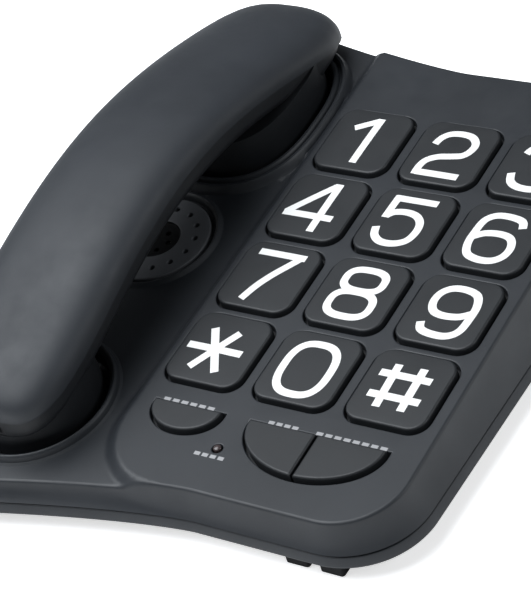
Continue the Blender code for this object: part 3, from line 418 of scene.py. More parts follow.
def at(outline, z):
    return [(x, y, z) for x, y in outline]


def circle(radius, count, x, y, turn=0.0):
    """Points round a circle, the first one turned by this share of a step."""
    return [polar(radius, 2 * math.pi * (i + turn) / count, x, y) for i in range(count)]


def turned(levels, x, y, count=96):
    """Rings of a turned form, from its radii and heights."""
    return [at(circle(radius, count, x, y), z) for radius, z in levels]


def stacked(outline, levels):
    """Rings of a form whose outline grows from level to level."""
    return [at(outline(grow), z) for grow, z in levels]


def level(z):
    """The height function of a flat plate."""
    return lambda x, y: z


def superellipse(half_x, half_y, power, count, x, y):
    found = []
    for i in range(count):
        angle = 2 * math.pi * i / count
        c, s = math.cos(angle), math.sin(angle)
        reach = (abs(c) ** power + abs(s) ** power) ** (-1 / power)
        found.append((x + half_x * reach * c, y + half_y * reach * s))
    return found


def rounded_rectangle(width, length, corner, x, y, count=8):
    corner = max(corner, SMALLEST_CORNER)
    half_x = width / 2 - corner
    half_y = length / 2 - corner
    found = []
    for sx, sy, start in ((1, 1, 0), (-1, 1, 90), (-1, -1, 180), (1, -1, 270)):
        corner_arc = arc(x + sx * half_x, y + sy * half_y, corner, start, start + 90, count)
        found += [spot for spot, _ in corner_arc]
    return found


def fillet(radius, count=5):
    """Quarter round from the top edge to the side: inset and drop, both growing."""
    steps = [0.5 * math.pi * i / count for i in range(count + 1)]
    return [(radius * (1 - math.sin(a)), radius * (1 - math.cos(a))) for a in steps]


def ease(t):
    t = min(max(t, 0.0), 1.0)
    return t * t * (3 - 2 * t)


# ---- base outline

SWEEP_LENGTH = SWEEP_START_X - HANDSET_X


def left_corner(radius, reach, start_y, side, count):
    """The bowed edge and the rounded corner it runs into, from right to left."""

    def sweep(x):
        return reach * (max(SWEEP_START_X - x, 0.0) / SWEEP_LENGTH) ** SWEEP_POWER

    def slope(x):
        run = max(SWEEP_START_X - x, 0.0) / SWEEP_LENGTH
        return reach * SWEEP_POWER / SWEEP_LENGTH * run ** (SWEEP_POWER - 1)

    centre_x = DECK_LEFT + radius
    lean = math.atan(slope(centre_x))
    end_x = centre_x + radius * math.sin(lean)
    found = []
    for i in range(count + 1):
        x = SWEEP_START_X + (end_x - SWEEP_START_X) * i / count
        scale = math.hypot(slope(x), 1)
        found.append(((x, start_y + side * sweep(x)), (slope(x) / scale, side / scale)))
    centre_y = start_y + side * (sweep(end_x) - radius * math.cos(lean))
    turn = 90 - math.degrees(lean)
    return found + arc(centre_x, centre_y, radius, side * turn, side * 180, 24)[1:]


def subdivided(start, stop, count):
    """The straight line between two points, in short pieces."""
    (x0, y0), (x1, y1) = start, stop
    return [(x0 + (x1 - x0) * i / count, y0 + (y1 - y0) * i / count) for i in range(count + 1)]


def straight(start, stop, count):
    """Points between two arcs, with the normal of the stretch."""
    return [(spot, start[1]) for spot in subdivided(start[0], stop[0], count)[1:-1]]


def base_outline():
    """Points and normals round the base, anticlockwise from the front right."""
    r = CORNER_FRONT_RIGHT
    front_right = arc(PANEL_RIGHT - r, PANEL_FRONT + r, r, -90, 0, 24)
    r = CORNER_REAR_RIGHT
    rear_right = arc(PANEL_RIGHT - r, PANEL_REAR - r, r, 0, 90, 20)
    rear = left_corner(CORNER_REAR_LEFT, DECK_REAR - PANEL_REAR, PANEL_REAR, 1, 30)
    front = left_corner(CORNER_FRONT_LEFT, PANEL_FRONT - DECK_FRONT, PANEL_FRONT, -1, 30)[::-1]
    runs = [front_right, rear_right, rear, front]
    found = []
    for run, after, count in zip(runs, runs[1:] + runs[:1], (24, 10, 14, 10)):
        found += run + straight(run[-1], after[0], count)
    return found


OUTLINE = base_outline()


def grown(grow):
    return [(x + nx * grow, y + ny * grow) for (x, y), (nx, ny) in OUTLINE]


# ---- base: upper shell

CREASE = 0.0011  # radius of the panel's edge
COVE = 0.55  # share of the wall's lean that comes low down
WALL_STEPS = 8
WINDOW_EDGE = 0.0004
SEAM_CHAMFER = (0.0004, 0.0003)  # inwards and upwards
LENS_WINDOW = 0.0016
PLUNGER_WINDOW = (0.0102, 0.0068, 0.0014)  # width, length and corner
STEP_SPACING = 0.0008  # between the rows of points that carry the soft step
STEP_TURNS = 39
STEP_CLEAR = 0.0006  # from those points to any ring
RIM_TOP = -0.0001
SPEAKER_SEAT_GAP = 0.0002
WELL_FOOT = ((0.0012, 0.0014), (-0.0004, 0.0003), (-0.0014, 0.0))  # grow and rise
MOON_STEPS = 40


def step_height(x, y):
    """The panel, and the soft step down to the cradle's deck on its left."""
    r = CORNER_FRONT_RIGHT
    centre = (PANEL_LEFT + r, PANEL_FRONT + r)
    if y >= centre[1]:
        away = PANEL_LEFT - x
    elif x >= centre[0]:
        away = PANEL_FRONT - y
    else:
        away = math.hypot(x - centre[0], y - centre[1]) - r
    return -STEP_DROP * ease(away / STEP_RUN)


def soft_max(a, b, reach=0.0007):
    mix = min(max(0.5 + 0.5 * (a - b) / reach, 0.0), 1.0)
    return a * mix + b * (1 - mix) + reach * mix * (1 - mix)


def half_moon(sizes, grow, low=-1.0, high=1.0):
    """A straight top with an arch under it, kept between low and high from its middle."""
    centre, top, half_width, height = sizes
    reach = half_width + grow
    right = min(reach, high)
    left = max(-reach, low)
    outline = [(left, grow), (right, grow)]
    for i in range(MOON_STEPS + 1):
        x = (right + left) / 2 + (right - left) / 2 * math.cos(math.pi * i / MOON_STEPS)
        drop = (height + grow) * math.sqrt(max(1 - (x / reach) ** 2, 0.0))
        outline.append((x, -drop - MOON_SIDE))
    return [(x + centre, y + top) for x, y in outline]


def moon_sizes(*nodes):
    """Centre x, straight top y, half width and height of the half moon of these keys."""
    low = np.min([span(node)[0] for node in nodes], 0)
    high = np.max([span(node)[1] for node in nodes], 0)
    half = (high[0] - low[0]) / 2 - KEY_FLANGE
    top = high[1] - KEY_FLANGE
    return (low[0] + high[0]) / 2, top, half, top - low[1] - KEY_FLANGE - MOON_SIDE


MIC = moon_sizes("mic_key")
CALL = moon_sizes("flash_key", "redial_key")
NUMBER_KEYS = ["key_" + label for label in [*"123456789", "star", "0", "hash"]]


def key_outline(node, grow):
    low, high = span(node)
    centre = (low + high) / 2
    size = high - low - 2 * KEY_FLANGE + 2 * grow
    return rounded_rectangle(size[0], size[1], KEY_CORNER + grow, centre[0], centre[1])


def window(build, outline):
    """An opening with a rounded edge and its wall; returns the ring in the panel."""
    levels = [(inset, -drop) for inset, drop in fillet(WINDOW_EDGE, 3)]
    return build.chain(stacked(outline, levels + [(0.0, -WALL)]))[0]


def rim_profile(width, grooved):
    """Grow and height of a cradle rim, from its outer foot in to the well's wall."""
    if grooved:
        from_outside = ((-0.0010, -STEP_DROP), (-0.0004, -0.0020), (0.0001, -0.0007), (0.0006, RIM_TOP),
                        (0.0014, RIM_TOP), (0.0018, -0.0006), (0.0021, -0.0013), (0.0026, -0.0013),
                        (0.0029, -0.0006), (0.0033, RIM_TOP))
        from_wall = ((0.0006, RIM_TOP), (0.0001, -0.0005), (-0.0001, -0.0012))
    else:
        from_outside = ((-0.0010, -STEP_DROP), (-0.0003, -0.0022), (0.0, -0.0009), (0.0004, -0.0003),
                        (0.0008, RIM_TOP), (0.0012, -0.0002), (0.0015, -0.0005))
        from_wall = ((0.0003, -0.0015), (0.0, -0.0021))
    return [(width - x_in, z) for x_in, z in from_outside] + list(from_wall)


def well(build, outline, width, grooved):
    """A raised rim and the cup it surrounds; returns the rim's outer ring and the floor's."""
    rings = []
    for grow, height in rim_profile(width, grooved):
        rings.append([(x, y, soft_max(step_height(x, y), height)) for x, y in outline(grow)])
    levels = [(grow - WELL_DRAFT, WELL_FLOOR + rise) for grow, rise in WELL_FOOT]
    return build.chain(rings + stacked(outline, levels))


def ear_outline(grow):
    return superellipse(EAR_WELL_HALF_WIDTH + grow, EAR_WELL_HALF_LENGTH + grow,
                        EAR_WELL_POWER, 96, HANDSET_X, EAR_WELL_Y)


def mouth_outline(grow):
    return circle(MOUTH_WELL_RADIUS + grow, 96, HANDSET_X, MOUTH_WELL_Y)


def speaker_seat(build):
    """The bead and groove round the loudspeaker's disc; returns the outer ring."""
    bead = ((0.0, 0.0), (0.0005, 0.0002), (0.0011, 0.0008), (0.0017, 0.0011), (0.0023, 0.0008),
            (0.0028, 0.0001), (0.0031, -0.0009))
    profile = [(SPEAKER_BEAD - x_in, rise) for x_in, rise in bead]
    profile += [(SPEAKER_SEAT_GAP, -0.0010), (SPEAKER_SEAT_GAP, -0.0022)]
    levels = [(SPEAKER_RADIUS + out, rise - STEP_DROP) for out, rise in profile]
    return build.chain(turned(levels, HANDSET_X, SPEAKER_Y))[0]


def shell_wall(build):
    """The panel's rounded edge and the wall down to the seam; returns the ring in the panel."""
    rings = [[(x, y, step_height(x, y) - down) for x, y in grown(-x_in)] for x_in, down in fillet(CREASE)]
    for i in range(1, WALL_STEPS + 1):
        share = i / WALL_STEPS
        out = SEAM_FLARE * ((1 - COVE) * share + COVE * share * share)
        rings.append([(x, y, (step_height(x, y) - CREASE) * (1 - share)
                       + (seam(y) + SEAM_CHAMFER[1]) * share) for x, y in grown(out)])
    for x_in in (SEAM_CHAMFER[0], WALL):
        rings.append([(x, y, seam(y)) for x, y in grown(SEAM_FLARE - x_in)])
    return build.chain(rings)[0]


def key_windows(build):
    """Windows for the keys and the lamp; returns their rings in the panel."""
    holes = []
    for node in NUMBER_KEYS:
        holes.append(window(build, lambda grow, node=node: key_outline(node, KEY_CLEARANCE + grow)))
    for sizes in (MIC, CALL):
        holes.append(window(build, lambda grow, sizes=sizes: half_moon(sizes, KEY_CLEARANCE + grow)))
    x, y, _ = middle("led_lens")
    return holes + [window(build, lambda grow: circle(LENS_WINDOW + grow, 24, x, y))]


def step_points(rings):
    """Points that carry the soft step between panel and deck, clear of the rings."""
    runs = [STEP_RUN * k / 7 for k in range(-1, 9)]
    bend_x = PANEL_LEFT + CORNER_FRONT_RIGHT
    bend_y = PANEL_FRONT + CORNER_FRONT_RIGHT
    found = []
    for i in range(int((DECK_REAR - DECK_FRONT) / STEP_SPACING)):
        y = DECK_FRONT + i * STEP_SPACING
        if y > bend_y:
            found += [(PANEL_LEFT - run, y) for run in runs]
    for i in range(STEP_TURNS + 1):
        angle = math.radians(180 + 90 * i / STEP_TURNS)
        found += [polar(CORNER_FRONT_RIGHT + run, angle, bend_x, bend_y) for run in runs]
    outline = grown(-CREASE)
    return [(x, y) for x, y in found if inside(x, y, outline)
            and np.hypot(rings[:, 0] - x, rings[:, 1] - y).min() > STEP_CLEAR]


def base_upper_shell():
    build = Build()
    edge = shell_wall(build)
    holes = key_windows(build)
    ear, ear_floor = well(build, ear_outline, EAR_RIM_WIDTH, True)
    mouth, mouth_floor = well(build, mouth_outline, RIM_WIDTH, False)
    holes += [ear, mouth, speaker_seat(build)]
    rings = np.array([build.points[i][:2] for loop in holes + [edge] for i in loop])
    build.plate(edge, step_height, holes, step_points(rings))
    build.plate(mouth_floor, level(WELL_FLOOR))
    x, y, _ = middle("hook_plunger")
    hole, _ = build.chain([at(rounded_rectangle(*PLUNGER_WINDOW, x, y), z)
                           for z in (WELL_FLOOR, span("hook_plunger")[0][2])])
    build.plate(ear_floor, level(WELL_FLOOR), [hole])
    made = build.piece("base_top", SHELL, "base")
    cut_wall_openings(made.data)
    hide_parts("base_upper_shell")


def cut_wall_openings(mesh):
    """Openings for the jacks and the slide switches, lined by the wall's thickness."""
    room = SLIDER_REACH - SLIDER_FLANGE + GAP
    trim = SLIDER_FLANGE - 2 * GAP
    rear = (("line_jack", GAP, 0.0), ("ringer_switch", room, trim), ("tone_switch", room, trim))
    for node, beside, less in rear:
        low, high = span(node)
        cut_wall(mesh, (low[0] - beside, PANEL_REAR - WALL, low[2] - GAP + less),
                 (high[0] + beside, PANEL_REAR + FLARE, high[2] + GAP - less), 1, -1)
    low, high = span("cord_jack")
    cut_wall(mesh, (DECK_LEFT - FLARE, low[1] - GAP, low[2] - GAP),
             (DECK_LEFT + WALL, high[1] + GAP, high[2] + GAP), 0, 1)


def near_box(face, low, high):
    spots = [vert.co for vert in face.verts]
    return all(min(spot[i] for spot in spots) < high[i] + MM
               and max(spot[i] for spot in spots) > low[i] - MM for i in range(3))


def cut_wall(mesh, low, high, across, inwards):
    """Cuts a box out of the wall; across is the axis that the box goes through it on."""
    with editing(mesh) as shape:
        for axis in {0, 1, 2} - {across}:
            normal = [float(i == axis) for i in range(3)]
            for reach in (low[axis], high[axis]):
                faces = [face for face in shape.faces if near_box(face, low, high)]
                edges = {edge for face in faces for edge in face.edges}
                points = {vert for face in faces for vert in face.verts}
                bmesh.ops.bisect_plane(shape, geom=[*faces, *edges, *points], dist=1e-7,
                                       plane_co=[reach * share for share in normal], plane_no=normal)
        gone = [face for face in shape.faces
                if all(low[i] < face.calc_center_median()[i] < high[i] for i in range(3))]
        loop = {edge for face in gone for edge in face.edges
                if any(other not in gone for other in edge.link_faces)}
        bmesh.ops.delete(shape, geom=gone, context="FACES")
        lining = bmesh.ops.extrude_edge_only(shape, edges=list(loop))["geom"]
        shift = [WALL * inwards if i == across else 0.0 for i in range(3)]
        bmesh.ops.translate(shape, vec=shift, verts=only(lining, bmesh.types.BMVert))
        bmesh.ops.recalc_face_normals(shape, faces=only(lining, bmesh.types.BMFace))
    mesh.set_sharp_from_angle(angle=math.radians(PIECE_ANGLE))


def only(items, kind):
    return [item for item in items if isinstance(item, kind)]


def inside(x, y, outline):
    hits = 0
    for (x0, y0), (x1, y1) in zip(outline, outline[1:] + outline[:1]):
        if (y0 > y) != (y1 > y) and x < x0 + (y - y0) / (y1 - y0) * (x1 - x0):
            hits += 1
    return hits % 2 == 1


# ---- base: lower shell


SCREW_RECESS = 0.0029
SCREW_RECESS_DEPTH = 0.0028
TRAY_TOP = ((WALL, 0.0006), (0.0006, 0.0), (0.0003, 0.00005), (0.0, 0.0003))  # inset and drop
TRAY_FOOT = ((0.0, 0.0014), (0.0001, 0.0008), (0.0005, 0.0003), (0.0012, 0.0))  # inset and rise


def base_lower_shell():
    """The tray, with its seam edge, its flared wall and the screws' recesses."""
    build = Build()
    rings = [[(x, y, seam(y) - SEAM_GAP - down) for x, y in grown(SEAM_FLARE - x_in)]
             for x_in, down in TRAY_TOP]
    rings += [[(x, y, bottom(y) + up) for x, y in grown(FLARE - x_in)] for x_in, up in TRAY_FOOT]
    _, edge = build.chain(rings)
    holes = []
    for index in range(1, 5):
        x, y, _ = middle(f"base_screw_{index}")
        spots = circle(SCREW_RECESS, 32, x, y)
        rim, deep = build.chain([[(px, py, bottom(py) + rise) for px, py in spots]
                                 for rise in (0.0, SCREW_RECESS_DEPTH)])
        build.fan(deep, (x, y, bottom(y) + SCREW_RECESS_DEPTH))
        holes.append(rim)
    build.plate(edge, lambda x, y: bottom(y), holes)
    made = build.piece("base_tray", SHELL, "base", outward=False)
    lowest = min(made.data.polygons, key=lambda face: face.center.z)
    if lowest.normal.z > 0:
        made.data.flip_normals()
    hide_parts("base_lower_shell")


# ---- keys

KEY_EDGE = 0.0007
KEY_DOME = 0.00018
DOME_STEPS = 12
DOME_CORNER = 1.6  # sum of the shares beyond which a key's corner gets no points


def cap(build, outline, top):
    """A key's bottom, flange, side and rounded edge; returns the ring round its top."""
    levels = [(KEY_FLANGE, KEY_LOW), (KEY_FLANGE, -WALL - 0.0005), (0.0, -WALL - 0.0004)]
    levels += [(-x_in, top - down) for x_in, down in fillet(KEY_EDGE)[::-1]]
    first, last = build.chain(stacked(outline, levels))
    build.plate(first, level(KEY_LOW))
    return last


def key_half(node):
    low, high = span(node)
    return (high - low)[:2] / 2 - KEY_FLANGE - KEY_EDGE


def dome(node):
    """The height function of a number key's slightly domed top."""
    centre = middle(node)[:2]
    half = key_half(node)

    def height(x, y):
        u, v = np.minimum(abs((np.array((x, y)) - centre) / half), 1.0)
        return KEY_TOP - KEY_DOME + KEY_DOME * (1 - u * u) * (1 - v * v)

    return height


def number_key(node):
    build = Build()
    last = cap(build, lambda grow: key_outline(node, grow), KEY_TOP - KEY_DOME)
    x, y, _ = middle(node)
    half_x, half_y = key_half(node)
    shares = [2 * i / DOME_STEPS - 1 for i in range(1, DOME_STEPS)]
    spots = [(x + half_x * u, y + half_y * v) for u in shares for v in shares
             if abs(u) + abs(v) < DOME_CORNER]
    build.plate(last, dome(node), extra=spots)
    made = build.piece(node + "_cap", KEYCAP, node)
    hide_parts(node)


def function_key(node, sizes, low=-1.0, high=1.0):
    build = Build()
    last = cap(build, lambda grow: half_moon(sizes, grow, low - grow, high + grow), KEY_TOP)
    build.plate(last, level(KEY_TOP))
    made = build.piece(node + "_cap", KEYCAP, node)
    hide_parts(node)


# ---- printed characters

STROKE = 2.45
LOOP_POWER = 2.7
PRINT_THICKNESS = 0.00006
MARK_DASH = 1.2  # height of a dash, in millimetres
MARK_FILL = 0.72  # printed share of a dash's pitch

# Strokes of each character, in millimetres from the middle of its key. A curve is
# smooth through its points; a line keeps its corners; a loop is a closed round.
SIX = (("curve", (6.4, 4.9), (5.2, 7.5), (1.6, 8.6), (-3.2, 8.4), (-6.2, 5.8), (-7.0, 0.4),
        (-6.9, -4.3), (-5.2, -8.0), (-1.2, -9.4), (3.0, -9.0), (5.7, -6.6), (6.3, -2.9), (4.7, 0.3),
        (1.2, 1.4), (-3.4, 0.9), (-6.6, -1.0)),)
GLYPHS = {
    "key_1": (("line", (-5.4, 4.5), (1.4, 9.0)), ("line", (1.6, 9.9), (1.3, -10.0))),
    "key_2": (("curve", (-6.4, 3.0), (-5.5, 5.9), (-3.4, 7.9), (0.2, 8.6), (4.0, 7.9), (6.3, 5.3),
               (6.2, 2.3), (4.6, -0.2), (1.2, -1.3), (-2.7, -2.2), (-5.7, -4.1), (-6.8, -6.8),
               (-6.9, -10.4)),
              ("line", (-6.9, -9.3), (7.3, -9.3))),
    "key_3": (("curve", (-6.3, 4.6), (-5.2, 7.1), (-2.2, 8.6), (1.4, 8.6), (4.9, 7.6), (6.1, 5.0),
               (5.1, 2.2), (2.2, 0.6), (-1.6, 0.4)),
              ("curve", (-1.6, 0.4), (3.0, 0.1), (6.0, -1.8), (7.0, -4.9), (5.5, -7.9), (1.8, -9.3),
               (-2.8, -9.2), (-5.9, -7.5), (-7.3, -4.0))),
    "key_4": (("line", (2.0, 9.2), (-8.9, -4.1)), ("line", (-9.6, -4.1), (7.4, -4.1)),
              ("line", (2.8, 10.0), (2.8, -10.3)), ("line", (1.2, 9.0), (3.9, 9.0))),
    "key_5": (("line", (-7.4, 8.8), (6.9, 8.8)), ("line", (-6.5, 9.8), (-6.8, 0.4)),
              ("curve", (-6.6, 1.1), (-4.6, 3.0), (-0.8, 3.6), (2.8, 2.7), (5.1, 0.2), (5.6, -3.4),
               (4.4, -7.2), (0.9, -9.2), (-3.4, -9.2), (-6.4, -7.1), (-7.6, -3.7))),
    "key_6": SIX,
    "key_7": (("line", (-8.1, 8.8), (7.9, 8.8)),
              ("curve", (6.8, 9.4), (4.2, 5.4), (1.0, 0.6), (-1.8, -4.6), (-3.9, -10.4))),
    "key_8": (("loop", (0.0, 4.9), (6.3, 4.2)), ("loop", (0.0, -4.6), (6.8, 4.8))),
    "key_9": tuple((kind, *[(-x + 0.2, -0.8 - y) for x, y in points]) for kind, *points in SIX),
    "key_star": (("line", (-10.2, -0.5), (8.1, -0.5)), ("line", (-5.2, 7.0), (3.6, -8.6)),
                 ("line", (3.5, 6.9), (-5.2, -8.5))),
    "key_0": (("loop", (0.0, -0.6), (7.5, 9.5)),),
    "key_hash": (("line", (-4.4, 7.8), (-3.9, -8.0)), ("line", (3.5, 7.9), (3.8, -7.9)),
                 ("line", (-8.6, 4.0), (7.6, 4.0)), ("line", (-8.4, -3.8), (7.8, -3.8))),
}


def smooth_path(points, steps=8):
    """A Catmull-Rom curve through the points."""
    ends = [points[0]] + list(points) + [points[-1]]
    found = []
    for a, b, c, d in zip(ends, ends[1:], ends[2:], ends[3:]):
        for i in range(steps):
            t = i / steps
            found.append(tuple(
                0.5 * (2 * b[k] + (c[k] - a[k]) * t + (2 * a[k] - 5 * b[k] + 4 * c[k] - d[k]) * t * t
                       + (3 * b[k] - a[k] - 3 * c[k] + d[k]) * t ** 3)
                for k in (0, 1)))
    return found + [points[-1]]


def ribbon(path, closed=False):
    """Quads that follow the path, with square ends."""
    path = [Vector(point) for point in path]
    sides = []
    count = len(path)
    for i, spot in enumerate(path):
        before = path[(i - 1) % count] if closed or i else path[0]
        after = path[(i + 1) % count] if closed or i < count - 1 else path[-1]
        along = (after - before).normalized()
        across = Vector((-along.y, along.x)) * STROKE / 2
        sides.append((spot + across, spot - across))
    far = sides[1:] + sides[:1] if closed else sides[1:]
    return [(a[1], b[1], b[0], a[0]) for a, b in zip(sides, far)]


def stroke_quads(strokes):
    quads = []
    for kind, *points in strokes:
        if kind == "loop":
            (cx, cy), (rx, ry) = points
            quads += ribbon(superellipse(rx, ry, LOOP_POWER, 72, cx, cy), True)
        else:
            quads += ribbon(smooth_path(points) if kind == "curve" else subdivided(*points, 12))
    return quads


def printed(name, quads, height, body, finish):
    """One flat print made of all the quads together, laid on the surface height(x, y)."""
    corners = [corner for quad in quads for corner in quad]
    faces = [list(range(4 * i, 4 * i + 4)) for i in range(len(quads))]
    spots, _, made, _, _, owners = delaunay_2d_cdt(corners, [], faces, 1, 1e-4)
    mesh = bpy.data.meshes.new(name)
    with editing(mesh) as shape:
        points = [shape.verts.new((p.x * MM, p.y * MM, height(p.x * MM, p.y * MM))) for p in spots]
        for face, owner in zip(made, owners):
            if owner:
                shape.faces.new([points[i] for i in face])
        loose = [vertex for vertex in shape.verts if not vertex.link_faces]
        bmesh.ops.delete(shape, geom=loose, context="VERTS")
        bmesh.ops.recalc_face_normals(shape, faces=shape.faces)
        if shape.faces[:][0].normal.z < 0:
            bmesh.ops.reverse_faces(shape, faces=shape.faces)
        lifted = bmesh.ops.extrude_face_region(shape, geom=shape.faces[:])["geom"]
        for vertex in only(lifted, bmesh.types.BMVert):
            vertex.co.z += PRINT_THICKNESS
        bmesh.ops.recalc_face_normals(shape, faces=shape.faces)
    place(name, mesh, finish, body, 30, False)


def print_digit(node):
    centre = Vector(middle(node)[:2] / MM)
    quads = [[corner + centre for corner in quad] for quad in stroke_quads(GLYPHS[node])]
    top = dome(node)
    printed(node + "_print", quads, lambda x, y: top(x, y) - PRINT_THICKNESS / 2, node, PRINT)


def print_labels():
    """Rows of short dashes where the function keys and the lamp are marked."""
    row = MIC[1] / MM + 1.3
    x, y, _ = middle("led_lens") / MM
    rows = (("mic_mark", -7.1, 10.8, row, 6), ("flash_mark", 28.1, 38.4, row, 4),
            ("redial_mark", 43.6, 66.7, row, 8), ("lamp_mark", x - 5.8, x + 4.6, y - 3.1, 4))
    for name, left, right, mid, count in rows:
        pitch = (right - left) / count
        low, high = mid - MARK_DASH / 2, mid + MARK_DASH / 2
        quads = []
        for start in (left + pitch * i for i in range(count)):
            end = start + pitch * MARK_FILL
            quads.append([Vector(c) for c in ((start, low), (end, low), (end, high), (start, high))])
        printed(name, quads, level(-PRINT_THICKNESS / 3), "base", LABEL)


# ---- loudspeaker disc

GRILLE_HOLES = 14
GRILLE_RING = 0.0130
GRILLE_HUB = 0.0078
GRILLE_HOLE = 0.00095
GRILLE_SINK = 0.0010  # of the hub under the disc's top
HUB_HOLES = 6
HUB_RING = 0.0042
HUB_HOLE = 0.0009
# Inset and drop
GRILLE_EDGE = ((0.0, 0.0005), (0.0002, 0.0002), (0.0006, 0.0))
HUB_EDGE = ((-0.0004, 0.0), (0.0, 0.0002), (0.0003, 0.0008), (0.0008, GRILLE_SINK))



def speaker_disc():
    """The perforated disc in the deck, with its sunken hub."""
    build = Build()
    low, top = (float(corner[2]) for corner in span("speaker_grille"))
    centre = HANDSET_X, SPEAKER_Y
    sunk = top - GRILLE_SINK

    def holes(spots, levels, count):
        return [build.chain(turned(levels, x, y, count))[0] for x, y in spots]

    edge_levels = [(SPEAKER_RADIUS - x_in, top - down) for x_in, down in GRILLE_EDGE]
    _, edge = build.chain(turned([(SPEAKER_RADIUS, low)] + edge_levels, *centre))
    hub_levels = [(GRILLE_HUB - x_in, top - down) for x_in, down in HUB_EDGE]
    hub_rim, hub = build.chain(turned(hub_levels, *centre))
    hole_levels = [(GRILLE_HOLE + 0.0001, top), (GRILLE_HOLE, top - 0.0003), (GRILLE_HOLE, low)]
    outer = holes(circle(GRILLE_RING, GRILLE_HOLES, *centre, turn=0.5), hole_levels, 20)
    inner = holes(circle(HUB_RING, HUB_HOLES, *centre), [(HUB_HOLE, sunk), (HUB_HOLE, low)], 16)
    build.plate(edge, level(top), [hub_rim] + outer)
    build.plate(hub, level(sunk), inner)
    made = build.piece("speaker_disc", GRILLE, "base")
    # Faces inside the hub's radius take the near-black material, which paints the shade in the recess.
    made.data.materials.append(HUB_PAINTED_SHADE)
    for face in made.data.polygons:
        if math.dist(face.center[:2], centre) < GRILLE_HUB:
            face.material_index = 1
    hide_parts("speaker_grille")


# ---- handset


def parting(y):
    r = (y - PARTING_Y) / PARTING_RUN
    return PARTING_HEIGHT - PARTING_FALL * r * r - PARTING_SKEW * r ** 3 + PARTING_FLATTEN * r ** 4


def end_round(share, power):
    return max(1 - abs(share) ** power, 0.0) ** (1 / power)


def waisted(share, mouth, ear, waist, power):
    """A size that runs from mouth end to ear end, waisted between and rounded off at the tips."""
    ends = (mouth * (1 - share) + ear * (1 + share)) / 2
    narrow = (mouth + ear) / 2 - waist
    return (ends - narrow * (1 - share * share)) * end_round(share, power)


def half_width(share):
    return waisted(share, MOUTH_END_HALF_WIDTH, EAR_END_HALF_WIDTH, HANDLE_HALF_WIDTH, END_ROUNDING)


def crown(share):
    power = CROWN_EAR_ROUNDING if share > 0 else CROWN_MOUTH_ROUNDING
    return waisted(share, CROWN_MOUTH, CROWN_EAR, CROWN_MIDDLE, power)


def handset_stations():
    """Shares of the half length from tip to tip, close together at both tips."""
    rises = [0.004, 0.02] + [0.06 + 0.82 * i / 13 for i in range(14)]
    tip = [(1 - rise ** END_ROUNDING) ** (1 / END_ROUNDING) for rise in rises]
    middle_count = 64
    inner = tip[-1]
    body = [inner * (1 - 2 * i / middle_count) for i in range(1, middle_count)]
    return tip + body + [-share for share in tip[::-1]]


STATIONS = handset_stations()
ARCH = 40
ARCH_POWER = 2.6
NARROWEST = 0.0004  # half width that a section keeps at the tips
LOWEST = 0.0003  # crown that a section keeps at the tips
BACK_THICKNESS = 0.0018
BACK_EDGE = (0.0003, 0.0002)  # chamfer of the outer shell's edge, inwards and upwards
SEAM_LIP_INSET = 0.0034  # lip inside the joint, which closes the view through it
SEAM_LIP_REACH = 0.0026


def back_section(share, inset):
    """Arch over the parting line from right to left, flatter than an ellipse."""
    y = HANDSET_Y + share * (HANDSET_LENGTH / 2 - inset)
    wide = max(half_width(share) - inset, NARROWEST)
    high = max(crown(share) - inset, LOWEST)
    base = parting(y)
    found = []
    for i in range(ARCH + 1):
        angle = math.pi * i / ARCH
        c, rise = math.cos(angle), max(math.sin(angle), 0.0)
        across = math.copysign(abs(c) ** (2 / ARCH_POWER), c)
        found.append((HANDSET_X + wide * across, y, base + high * rise ** (2 / ARCH_POWER)))
    return found


def moved(point, x, z):
    return point[0] + x, point[1], point[2] + z


def handset_back():
    """The outer shell: a smooth arched back, thick at its edge."""
    build = Build()
    chamfer, rise = BACK_EDGE
    rows = []
    for share in STATIONS:
        outer = back_section(share, 0.0)
        inner = back_section(share, BACK_THICKNESS)
        tuck = chamfer * end_round(share, END_ROUNDING)
        left = [moved(outer[-1], 0.0, rise - SHELL_LIP), moved(outer[-1], tuck, -SHELL_LIP)]
        right = [moved(outer[0], -tuck, -SHELL_LIP), moved(outer[0], 0.0, rise - SHELL_LIP)]
        lining = [moved(inner[-1], 0.0, -SHELL_LIP)] + inner[::-1] + [moved(inner[0], 0.0, -SHELL_LIP)]
        rows.append(outer + left + lining + right)
    build.solid(rows)
    spots = []
    for side, shares in ((1, STATIONS), (-1, STATIONS[::-1])):
        spots += [(HANDSET_X + side * max(half_width(share) - SEAM_LIP_INSET, NARROWEST),
                   HANDSET_Y + share * (HANDSET_LENGTH / 2 - SEAM_LIP_INSET)) for share in shares]
    build.chain([[(x, y, parting(y) - drop) for x, y in spots] for drop in (SEAM_LIP_REACH, 0.0)])
    made = build.piece("handset_back", HANDSET, "handset", 50, weighted=False)
    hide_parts("handset_outer_shell")


FRONT_EDGE = 0.0003
FRONT_CORNER = 0.0040
THINNEST_FRONT = 0.0008
CUP_FACE = ((0.0062, 0.0010), (0.0048, 0.0002), (0.0040, 0.0))  # inset and rise of its dish
CUP_EDGE = 0.0016
CUP_OVERLAP = 0.003  # of a cup with the handle above it
SOUND_HOLE = 0.0011
SOUND_HOLES = 6
SOUND_RING = 0.0055
SCREW_WELL = 0.0029


def handle_bottom(y):
    return max(parting(y) - HANDLE_SIDE, HANDSET_LIFT_OFF)


